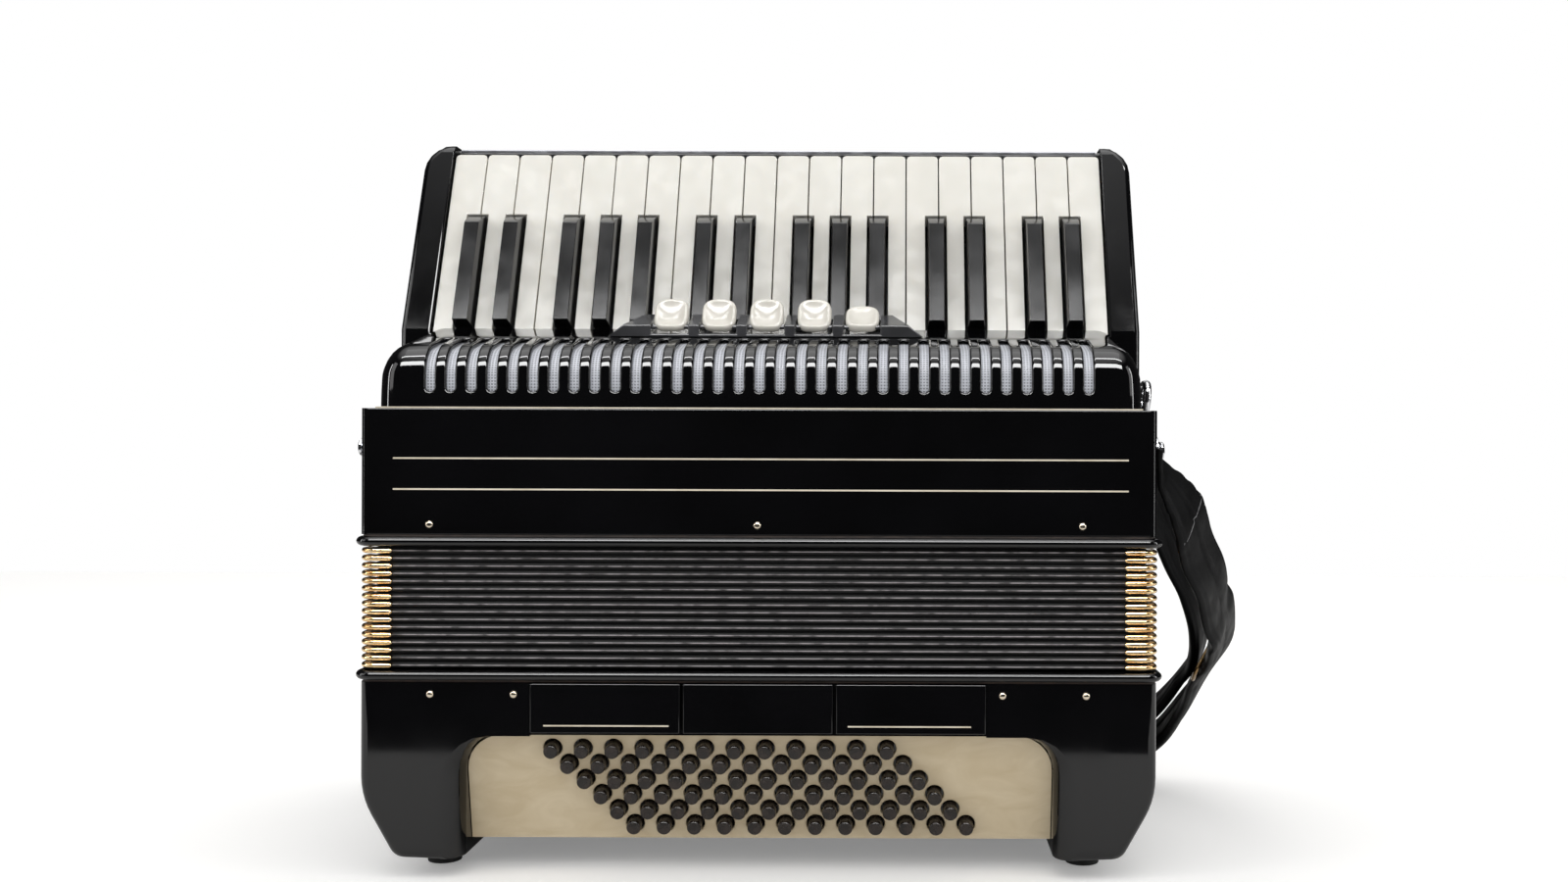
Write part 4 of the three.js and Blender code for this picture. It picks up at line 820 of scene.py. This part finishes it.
def grille_shell():
    """The pressed cover: rows run along its side view and columns across it. Beside each slot the
    columns follow its outline at growing distances, and roll down into it on a quarter round."""
    half, roll = SLOT_HALF, SLOT_ROLL
    off = roll * (1 - np.cos(quarter(5)))
    first = SLOT_FOOT + half
    last = WALL_RUN + ARC_RUN + (SLOT_END_Y - SLOPE_Y) / math.cos(SLOPE)
    tip = np.concatenate([half * np.sin(quarter(6)), half + off[1:]])
    run = WALL_RUN + ARC_RUN + SLOPE_RUN
    rows = np.unique(np.round(np.concatenate([
        [0, 0.5, 3.5], first - tip, np.linspace(first, WALL_RUN, 3),
        np.linspace(WALL_RUN, WALL_RUN + ARC_RUN, 15), np.linspace(WALL_RUN + ARC_RUN, last, 4),
        last + tip, np.linspace(last + half + roll, run, 6)]), 9))
    # How far a row is past the slot's straight sides, where its columns lie, how far they are from
    # the slot, and how deep they are rolled in.
    past = np.maximum(np.maximum(first - rows, rows - last), 0)[:, None]
    wide = np.where(past > 0, np.sqrt(np.maximum((half + off) ** 2 - past ** 2, 0)), half + off)
    near = np.where(past < half + off, off, past - half)
    sunk = roll - np.sqrt(np.maximum(roll ** 2 - (roll - np.minimum(near, roll)) ** 2, 0))
    side = quarter(9)[::-1]

    def layer(depth, down):
        """Points of the sheet's outside or inside as a grid, sunk by down beside each slot."""
        left_x = (COVER_END_RADIUS - cover_edge(rows)[:, None]
                  - (COVER_END_RADIUS - depth) * np.sin(side))
        left_in = COVER_END_RADIUS - (COVER_END_RADIUS - depth) * np.cos(side) + 0 * left_x
        xs, ins = [left_x], [left_in]
        for centre in (np.arange(SLOTS) - (SLOTS - 1) / 2) * SLOT_PITCH:
            xs += [centre - wide[:, ::-1], centre + wide]
            ins += [down[:, ::-1], down]
        x = np.concatenate(xs + [-left_x[:, ::-1]], 1)
        y, z = cover_profile(rows[:, None], np.concatenate(ins + [left_in[:, ::-1]], 1))
        return np.stack([x, y, z], -1)

    outer, inner = layer(0.0, sunk), layer(COVER_WALL, np.full_like(sunk, COVER_WALL))
    count_rows, count = outer.shape[:2]
    size = count_rows * count
    hole = len(side) + 2 * len(off) * np.arange(SLOTS) + len(off) - 1
    quads = grid_quads(count_rows, count)
    quads = quads[~np.isin(quads[:, 0] % count, hole)]
    faces = [quads, quads + size]
    inside = np.nonzero(past[:, 0] <= half + 1e-6)[0] * count
    for column in (*hole, *hole + 1):
        low, high = inside[:-1] + column, inside[1:] + column
        faces.append(np.stack([low, high, high + size, low + size], -1))
    for row in (0, count_rows - 1):
        here = row * count + np.arange(count - 1)
        faces.append(np.stack([here, here + size, here + 1 + size, here + 1], -1))
    sheet = (np.concatenate([outer, inner]).reshape(-1, 3), np.concatenate(faces).tolist())
    piece = make_piece("grille_cover_shell", [sheet] + end_walls(rows), enamel, "treble_body",
                       crease=45)
    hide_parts("grille_cover")


def grille_cloth():
    """The gauze sheet: the cover's side view just inside its wall, bulging a little in a slot."""
    along = np.linspace(5, 65.5, 60)[:, None]
    x = np.linspace(-CLOTH_HALF, CLOTH_HALF, 300)[None]
    ends = np.clip((along - 9) / 4, 0, 1) * np.clip((55 - along) / 4, 0, 1)
    swell = 0.25 * np.cos(2 * np.pi * x / SLOT_PITCH) * ends
    y, z = cover_profile(along, COVER_WALL + 0.75 - swell)
    points = np.stack([np.broadcast_to(x, y.shape), y, z], -1)
    piece = make_piece("grille_gauze_sheet", [skin(points)], gauze_cloth, "treble_body",
                       weld=False, closed=False)
    weave = piece.data.uv_layers.new(name="sheet")
    flat = np.stack(np.broadcast_arrays(x * MM, along * MM), -1).reshape(-1, 2)
    corners = np.empty(len(piece.data.loops), int)
    piece.data.loops.foreach_get("vertex_index", corners)
    weave.data.foreach_set("uv", flat[corners].ravel())
    thick = piece.modifiers.new("thread thickness", "SOLIDIFY")
    thick.thickness = 0.3 * MM
    thick.offset = 0
    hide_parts("grille_gauze")


# Bass button board, buttons and rack.


BOARD_Y = -83.5
BOARD_TILT = math.radians(12)
BOARD_THICK = 3.0
BOARD_Z = RECESS_TOP - 0.3 - BOARD_THICK * math.sin(BOARD_TILT)
BOARD_HEIGHT = 55.0
BOARD_HALF = RECESS_HALF - 0.3
BOARD_CORNER = 18.0
HOLE_RADIUS = 4.6
HOLE_ROLL = 0.7
HOLE_SIDES = 32
BUTTON_ROWS = 6
BUTTON_COLUMNS = 12
BUTTON_PITCH = 15.1
ROW_SLANT = 7.95
ROW_HEIGHTS = -(6.8 + np.arange(BUTTON_ROWS) * 8.05)
RACK_HALF = 112.5
RACK_FRONT = 12
RACK_HIGH = -3.4
RACK_LOW = ROW_HEIGHTS[-1] - 6.0
CHEEK_BACK = -22.4
ROD_DEPTH = 21.4


def in_board(points):
    """Tilts points given on the board (across, behind its front, up from its top) into the case."""
    x, y, z = np.asarray(points, float).T
    c, s = math.cos(BOARD_TILT), math.sin(BOARD_TILT)
    return np.stack([x, BOARD_Y + y * c - z * s, BOARD_Z + y * s + z * c], -1)


def on_board(part):
    """A part given in the board's own directions, moved to its place."""
    return in_board(part[0]), part[1]


def button_places():
    """Across and up for each of the 72 buttons: each row starts further right than the last."""
    row, column = np.meshgrid(np.arange(BUTTON_ROWS), np.arange(BUTTON_COLUMNS), indexing="ij")
    x = (column - 5.5) * BUTTON_PITCH + (row - 2.5) * ROW_SLANT
    return np.stack([x.ravel(), ROW_HEIGHTS[row.ravel()]], -1)


def pierced_sheet(outline, centres, radius):
    """Triangles that fill an outline less a round hole at each centre: points and index threes."""
    rings = centres[:, None] + radius * circle(HOLE_SIDES)
    points = np.concatenate([outline, rings.reshape(-1, 2)])
    edges = []
    for start in (0, *range(len(outline), len(points), HOLE_SIDES)):
        count = HOLE_SIDES if start else len(outline)
        edges += [(start + i, start + (i + 1) % count) for i in range(count)]
    made = delaunay_2d_cdt([Vector(p) for p in points.tolist()], edges, [], 1, 1e-6)
    found, faces = np.array(made[0]), made[2]
    middles = np.array([found[list(face)].mean(0) for face in faces])
    gap = np.linalg.norm(middles[:, None] - centres[None], axis=-1).min(1)
    # Every triangle inside a hole has its middle nearer than this, and none outside has.
    return found, [list(face) for face, far in zip(faces, gap) if far > radius * 0.993]


def button_board():
    """The board: a flat front whose holes roll in on a quarter round, hole walls, a flat back."""
    corner = quarter(8)
    right = np.c_[BOARD_HALF - BOARD_CORNER + BOARD_CORNER * np.cos(corner),
                  -BOARD_CORNER + BOARD_CORNER * np.sin(corner)]
    outline = np.concatenate([[[-BOARD_HALF, -BOARD_HEIGHT], [BOARD_HALF, -BOARD_HEIGHT]], right,
                              right[::-1] * [-1, 1]])
    centres = button_places()
    turn = quarter(5)
    radius = np.concatenate([HOLE_RADIUS + HOLE_ROLL * (1 - np.sin(turn)), [HOLE_RADIUS]])
    depth = np.concatenate([HOLE_ROLL * (1 - np.cos(turn)), [BOARD_THICK]])
    tube = turned(np.c_[radius, depth], HOLE_SIDES, axis="y", caps=False)
    parts = [repeated(tube, np.insert(centres, 1, 0.0, 1)),
             prism(outline, 1, 0, BOARD_THICK, caps=False)]
    for wide, behind in ((HOLE_RADIUS + HOLE_ROLL, 0.0), (HOLE_RADIUS, BOARD_THICK)):
        points, faces = pierced_sheet(outline, centres, wide)
        parts.append((np.insert(points, 1, behind, 1), faces))
    board = make_piece("bass_button_plate", [on_board(part) for part in parts], champagne,
                       "bass_body", crease=40)
    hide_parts("bass_button_board")


def button_rack():
    """Buttons as domed rods through the board, the rack bar that carries them, and cross rods."""
    face = [(3.6, 12.2), (3.6, -5.2), (3.52, -5.75), (3.25, -6.2), (2.8, -6.42), (2.2, -6.3),
            (1.2, -6.2), (0.3, -6.17)]
    where = np.insert(button_places(), 1, 0.0, 1)
    buttons = make_piece("bass_buttons", [on_board(repeated(turned(face, 24, axis="y"), where))],
                         button_plastic, "bass_body", crease=50)
    bar = box_part((-RACK_HALF, RACK_FRONT, RACK_LOW), (RACK_HALF, RACK_FRONT + 3, RACK_HIGH))
    low, high = in_board([[0, RACK_FRONT, RACK_LOW], [0, RACK_FRONT, RACK_HIGH]])[:, 1:]
    side = np.array([low, [CHEEK_BACK, RECESS_TOP - 27], [CHEEK_BACK, RECESS_TOP - 0.3], high])
    cheeks = [prism(side, 0, x, x + 3) for x in (-RACK_HALF, RACK_HALF - 3)]
    rack = make_piece("bass_button_rack", [on_board(bar)] + cheeks, wheel_metal, "bass_body")
    rod = turned([(1.6, -RACK_HALF + 1), (1.6, RACK_HALF - 1)], 12, "x")
    rods = on_board(repeated(rod, [(0, ROD_DEPTH, z) for z in ROW_HEIGHTS]))
    wires = make_piece("bass_button_rods", [rods], steel, "bass_body")
    for piece in (buttons, rack, wires):
        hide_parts("bass_mechanism")


# Register tabs.


TAB_COUNT = 5
TAB_PITCH = 24.7
TAB_PIVOT = (-52.99, 273.62)
TAB_MIDDLE = 7.1
TAB_HALF_WIDTH = 8.75
TAB_HALF_HEIGHT = 9.3
TAB_LEAN = 30.0
TAB_PRESS = 20.0


def register_tab(i):
    """A dished tab: rings of a squared oval |x/a|^n + |z/b|^n = 1, rounder above than below, from
    the middle of its back, round the rim, to the bottom of its dish. There a ring of share r sinks
    as 1 - r^2 and slides down. The last tab is pressed."""
    cosine, sine = circle(64).T
    power = 2 / (3.4 - 0.5 * sine)
    outline_x = TAB_HALF_WIDTH * np.sign(cosine) * np.abs(cosine) ** power
    outline_z = TAB_HALF_HEIGHT * np.sign(sine) * np.abs(sine) ** power
    share = np.array([0.97, 0.92, 0.84, 0.72, 0.58, 0.42, 0.25, 0.04])
    rim = np.array([(0.02, 2.3), (0.5, 2.3), (0.86, 2.25), (0.965, 1.7), (1.0, 0.9), (1.0, -0.7),
                    (0.98, -1.6), (0.93, -2.2), (0.87, -2.4), (0.82, -2.35)])
    scale = np.concatenate([rim[:, 0], 0.8 * share])[:, None]
    y = np.concatenate([rim[:, 1], 1.9 * (1 - share ** 2) - 2.3])[:, None]
    slide = np.concatenate([np.zeros(len(rim)), -1.7 * (1 - share)])[:, None]
    x = scale * outline_x
    z = scale * outline_z + slide + TAB_MIDDLE
    lean = math.radians(TAB_LEAN + (TAB_PRESS if i == TAB_COUNT - 1 else 0))
    c, s = math.cos(lean), math.sin(lean)
    points = np.stack([x + (i - 2) * TAB_PITCH, TAB_PIVOT[0] + y * c + z * s,
                       TAB_PIVOT[1] - y * s + z * c], -1)
    name = f"register_tab_{i + 1}"
    piece = make_piece(name + "_cap", [capped(points)], ivory_plastic, name,
                       crease=70)
    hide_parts(name)


# Straps.


STRAP_SIDE = HALF_WIDTH + 1.8
STRAP_BEHIND = 118.0
STRAP_STEPS = 420
TAB_LONG = 58
TAB_WIDE = 20
BAND_HALF = 1.5
SEAM_SHARES = (0.052, 0.912)
TACK_PITCH = 46
TURN_FROM = 25
TURN_RISE = 95
DRAWN_TOP = 225
HAND_STRAP_Y = 45
HAND_STRAP_HALF = 29.0
HAND_STRAP_LOW = 3.75
HAND_STRAP_RISE = 9.5
# The straps' routes: shares of STRAP_SIDE, of STRAP_BEHIND and of the way up to the case's top.
OUTER_ROUTE = [
    (1.001, -0.68, 0.925), (1.001, -0.668, 0.9), (1.024, -0.645, 0.861), (1.063, -0.619, 0.821),
    (1.11, -0.559, 0.763), (1.156, -0.441, 0.682), (1.199, -0.322, 0.616), (1.239, -0.153, 0.54),
    (1.267, -0.017, 0.494), (1.288, 0.254, 0.412), (1.271, 0.492, 0.332), (1.234, 0.746, 0.23),
    (1.165, 0.915, 0.128), (1.062, 0.992, 0.048), (0.92, 1, 0.008), (0.758, 1, 0), (0.379, 1, 0),
    (0, 1, 0), (-0.379, 1, 0), (-0.758, 1, 0), (-0.95, 1, 0.012), (-1.09, 0.985, 0.075),
    (-1.15, 0.9, 0.23), (-1.14, 0.76, 0.45), (-1.09, 0.57, 0.68), (-1.03, 0.42, 0.83),
    (-1.001, 0.36, 0.9), (-1.001, 0.345, 0.93),
]
INNER_ROUTE = [
    (1.0035, 0.297, 1.08), (1.0035, 0.3, 1.05), (1.016, 0.308, 0.995), (1.041, 0.356, 0.883),
    (1.088, 0.424, 0.744), (1.144, 0.492, 0.625), (1.196, 0.542, 0.536), (1.234, 0.61, 0.434),
    (1.242, 0.763, 0.328), (1.22, 0.847, 0.268), (1.16, 0.915, 0.18), (1.062, 0.983, 0.092),
    (0.93, 1, 0.023), (0.758, 1, 0), (0.379, 1, 0), (0, 1, 0), (-0.379, 1, 0), (-0.758, 1, 0),
    (-0.93, 1, 0.012), (-1.045, 0.985, 0.075), (-1.095, 0.9, 0.22), (-1.09, 0.8, 0.41),
    (-1.055, 0.71, 0.59), (-1.03, 0.67, 0.7), (-1.003, 0.65, 0.79), (-1.001, 0.644, 0.83),
]


def smooth_line(points, count):
    """A smooth curve through points, evenly spaced along its length, and its length. Its knots are
    as far apart as the square roots of the gaps, so it makes no loops at close points."""
    p = np.concatenate([[2 * points[0] - points[1]], points, [2 * points[-1] - points[-2]]])
    knots = np.concatenate([[0], np.cumsum(np.sqrt(np.linalg.norm(np.diff(p, axis=0), axis=1)))])
    t = np.linspace(knots[1], knots[-2], 4000)
    k = np.clip(np.searchsorted(knots, t, side="right") - 1, 1, len(points) - 1)

    def between(a, b, i, j):
        """Two lines of points blended by where t lies between two knots."""
        share = ((t - knots[k + i]) / (knots[k + j] - knots[k + i]))[:, None]
        return a * (1 - share) + b * share

    a1, a2, a3 = [between(p[k + i], p[k + i + 1], i, i + 1) for i in (-1, 0, 1)]
    fine = between(between(a1, a2, -1, 1), between(a2, a3, 0, 2), 0, 1)
    run = np.concatenate([[0], np.cumsum(np.linalg.norm(np.diff(fine, axis=0), axis=1))])
    even = np.linspace(0, run[-1], count)
    return np.stack([np.interp(even, run, fine[:, i]) for i in range(3)], -1), run[-1]


def strap_frames(shares, rest, turned_by, drawn_in):
    """A strap's middle line, its directions along, across and through at each step, and its length.
    Beside the right wall the band turns about its line, so that its face shows from the front."""
    side, depth, height = np.array(shares, float).T
    route = [side * STRAP_SIDE, depth * STRAP_BEHIND, rest + height * (TREBLE_TOP - rest)]
    line, length = smooth_line(np.stack(route, -1), STRAP_STEPS)
    along = unit(np.gradient(line, axis=0))
    wide = unit(ALONG_Y - along * along[:, 1:2])
    thick = np.cross(along, wide)
    x, z, step = line[:, 0], line[:, 2], np.arange(STRAP_STEPS) / STRAP_STEPS
    rise = np.clip((z - TURN_FROM) / TURN_RISE, 0, 1) * np.clip(step / 0.025, 0, 1)
    twist = (x > 0) * eased(rise) * turned_by
    line[:, 0] -= drawn_in * np.sin(twist) * np.clip((DRAWN_TOP - z) / 60, 0, 1)
    c, s = np.cos(twist)[:, None], np.sin(twist)[:, None]
    return line, along, wide * c + thick * s, thick * c - wide * s, length


def there_and_back(over, under):
    """Values across a band's upper face and back across its lower one, less the shared edges."""
    return np.concatenate([over, under[:, ::-1][:, 1:-1]], 1)


def shoulder_strap(name, shares, rest, turned_by, drawn_in, widening):
    """A padded band swept along its route. Across, it is crowned as 1 - v^6 and drawn in at two
    sewn channels, the middle and the edge. Along, the crown swells a little between tacks, and the
    ends are flat tabs whose edges are cut in scallops |sin|."""
    line, along, wide, thick, length = strap_frames(shares, rest, turned_by, drawn_in)
    run = np.linspace(0, length, STRAP_STEPS)[:, None]
    from_end = np.minimum(run, length - run)
    pad = eased(np.minimum((run / length - 0.01) / widening,
                           ((length - run) / length - 0.035) / 0.055).clip(0, 1))
    v = np.sin(np.linspace(-np.pi / 2, np.pi / 2, 29))[None]
    tacks = np.cos(2 * np.pi * run / TACK_PITCH)
    scallop = np.clip(from_end / 8, 0, 1) * np.clip((TAB_LONG - from_end) / 6, 0, 1)
    half = TAB_WIDE / 2 + 11 * pad + 1.3 * scallop * (np.abs(np.sin(np.pi * from_end / 11)) - 0.5)
    crown = BAND_HALF + (0.25 + 1.75 * pad) * (1 - np.abs(v) ** 6) * (1 + 0.02 * pad * tacks)
    sewn = np.exp(-((np.abs(v) - 0.84) / 0.035) ** 2) * (0.25 + 0.4 * pad)
    middle_seam = 1.1 * pad * np.exp(-(v / 0.045) ** 2)
    edge = np.sqrt(np.clip(1 - np.abs(v) ** 14, 0, 1))
    height = np.maximum((crown - sewn - middle_seam) * edge, 0)
    across = half * v * (1 - 0.006 * pad * (1 + tacks))
    section = np.stack([there_and_back(across, across), there_and_back(height, -height)], -1)
    band = capped(swept(line, wide, thick, section))
    piece = make_piece(name, [band], leather, "treble_body", 60, weld=False)
    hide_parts(name.replace("_pad", ""))
    seams = []
    for k in (int(share * STRAP_STEPS) for share in SEAM_SHARES):
        track = line[k] + np.outer(across[k] * 0.97, wide[k]) + np.outer(height[k] - 0.12, thick[k])
        seams.append(cord(track[2:-2], 0.4, 6))
    make_piece(name.replace("pad", "seams"), seams, thread, "treble_body", crease=60)
    return line, along, wide, thick


def strap_buckle(name, frames, height, half_across):
    """A slide buckle round a strap: a wire frame and the bar that crosses it."""
    line = frames[0]
    k = int(np.argmax((line[:, 2] < height) & (line[:, 0] > HALF_WIDTH)))
    middle, along, wide, thick = [rows[k] for rows in frames]
    lift = middle - thick * 3.4
    ends = lift + np.outer([-half_across, half_across], wide)
    parts = [frame_loop(lift, wide, along, half_across, 7, 3, 1.1), cord(ends, 1.0, 10, (0, 0, 1))]
    make_piece(name, parts, bronze, "treble_body", crease=60)


def hand_strap():
    """The hand strap: a crowned leather band that rises as share^4 to its ends, with two seams."""
    share = np.linspace(-1, 1, 121)[:, None]
    v = np.sin(np.linspace(-np.pi / 2, np.pi / 2, 33))[None]
    sewn = 0.5 * np.exp(-((np.abs(v) - 0.86) / 0.03) ** 2)
    crown = 1.4 + 0.85 * (1 - np.abs(v) ** 4) - sewn
    height = crown * np.sqrt(np.clip(1 - np.abs(v) ** 20, 0, 1))
    middle = HAND_STRAP_LOW + HAND_STRAP_RISE * share ** 4
    y = HAND_STRAP_Y + HAND_STRAP_HALF * v + 0 * share
    ring_y = there_and_back(y, y)
    x = np.broadcast_to(share * (RECESS_HALF - 0.3), ring_y.shape)
    points = np.stack([x, ring_y, there_and_back(middle + height, middle - height)], -1)
    piece = make_piece("hand_strap_band", [capped(points)], smooth_leather,
                       "bass_body", crease=60, weld=False)
    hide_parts("hand_strap")


# Small metal and inlay.


def strip(x0, x1, z, height, y=FRONT):
    """A thin inlaid line on a front face."""
    return box_part((x0, y - 0.12, z - height / 2), (x1, y + 0.3, z + height / 2))


def inlay():
    """Cream lines along the treble case and on two of the bass registers, and one under the grille
    that is partly an inlay and partly a painted highlight on the case's top edge.
    """
    lines = [strip(-179.5, 181.5, z, 0.8) for z in (205.8, 190.6)]
    make_piece("treble_inlay_lines", lines, line_celluloid, "treble_body")
    # Painted highlight: a cream line along the case's top edge at the grille's foot, where the edge
    # shines; partly an inlaid line.
    bead = box_part((-188.5, COVER_FRONT - 0.25, 230.32), (188.5, COVER_FRONT + 0.5, 231.1))
    make_piece("grille_foot_highlight_line", [bead], line_celluloid, "treble_body")
    for index, (x0, x1) in enumerate(((-105, -43.6), (44.1, 104.5))):
        make_piece(f"bass_register_line_{index + 1}", [strip(x0, x1, 75.0, 0.7, y=-94.0)],
                   line_celluloid, f"bass_register_{1 + 2 * index}")


def strap_bracket():
    """The right side's bracket: a flat bar bent away from the case, with a ring in its end."""
    side = 35.0
    bends = np.array([(0.9, 219), (0.9, 226), (4, 229.5), (10, 231), (13, 233.5)]) + [HALF_WIDTH, 0]
    track, _ = smooth_line(np.insert(bends, 1, side, 1), 30)
    normal = np.cross(unit(np.gradient(track, axis=0)), ALONG_Y)
    section = np.array([(-6, -0.7), (6, -0.7), (6, 0.7), (-6, 0.7)])
    points = swept(track, np.broadcast_to(ALONG_Y, track.shape), normal, section)
    ring = frame_loop(np.array([HALF_WIDTH + 13.2, side, 240.5]), ALONG_Y, np.array([0.06, 0, 1.0]),
                      10, 7.5, 6, 2.3)
    make_piece("strap_bracket", [capped(points), ring], chrome, "treble_body", crease=50)


def fittings():
    """The keyboard's rail strip, the bellows' pins, the strap studs and the rubber feet. The rail
    strip is partly a metal strip and partly a painted highlight on the rail.
    """
    # A light strip on the rail's top: partly a metal strip, partly a painted highlight where
    # grazing light catches the rail.
    rail = [(19.5, 375.9), (19.3, 376.2), (19.3, 377.9), (19.6, 378.3), (20.2, 378.45),
            (23.4, 378.45), (23.8, 378.2), (23.8, 377.7), (19.9, 377.7), (19.9, 375.9)]
    make_piece("keyboard_rail_highlight_strip", [prism(rail, 0, -178.6, 178.6)], wheel_metal, "treble_body")
    pin = turned([(1.9, 0.4), (1.9, -0.15), (1.6, -0.6), (1.0, -0.95), (0.2, -1.05)], 16, axis="y")
    for end, height, places in (("treble", 173.2, (-161.6, -0.7, 159)),
                                ("bass", 90, (-161, -120, 120, 161))):
        pins = repeated(pin, [(x, FRONT, height) for x in places])
        make_piece(f"bellows_pins_{end}", [pins], nickel, f"{end}_body")
    points, faces = turned([(7.5, 0.05), (7.5, 0.9), (6.8, 1.4), (3.4, 1.6), (3.0, 2.4), (4.4, 3.0),
                            (4.6, 3.7), (3.8, 4.5), (2.0, 4.9), (0.3, 5.0)], 28, axis="x")
    for name, side, y, z in (("left", -1, 41.0, 210.5), ("right", 1, -80.2, 210.5),
                             ("front_left", -1, -78, 211)):
        stud = (points * [side, 1, 1] + [side * HALF_WIDTH, y, z], faces)
        make_piece(f"strap_stud_{name}", [stud], chrome, "treble_body", crease=50)
    rubber_foot = turned([(8.3, 0.15), (8.5, 0.6), (8.5, 6.5), (8.2, 7.2), (8.2, 9.3)], 32)
    places = [(x, y, 0) for x in (-163, 163) for y in (-59.5, 59.5)]
    make_piece("rubber_feet", [repeated(rubber_foot, places)], foot_rubber, "bass_body", crease=40)


studio()
dress_cad_pieces()
for fold in range(FOLDS):
    bellows_fold(fold)
    bellows_corners(fold)
bellows_frame("bellows_frame_bass", BASS_TOP, True, "bass_body")
bellows_frame("bellows_frame_treble", BELLOWS_HIGH, False, "treble_body")
grille_shell()
grille_cloth()
for tab in range(TAB_COUNT):
    register_tab(tab)
button_board()
button_rack()
outer = shoulder_strap("shoulder_strap_outer_pad", OUTER_ROUTE, 5.2, math.radians(39), 8, 0.045)
inner = shoulder_strap("shoulder_strap_inner_pad", INNER_ROUTE, 14.0, math.radians(30), -10, 0.02)
strap_buckle("strap_buckle_outer", outer, 101, 24.2)
strap_buckle("strap_buckle_inner", inner, 44, 23.4)
hand_strap()
inlay()
fittings()
strap_bracket()
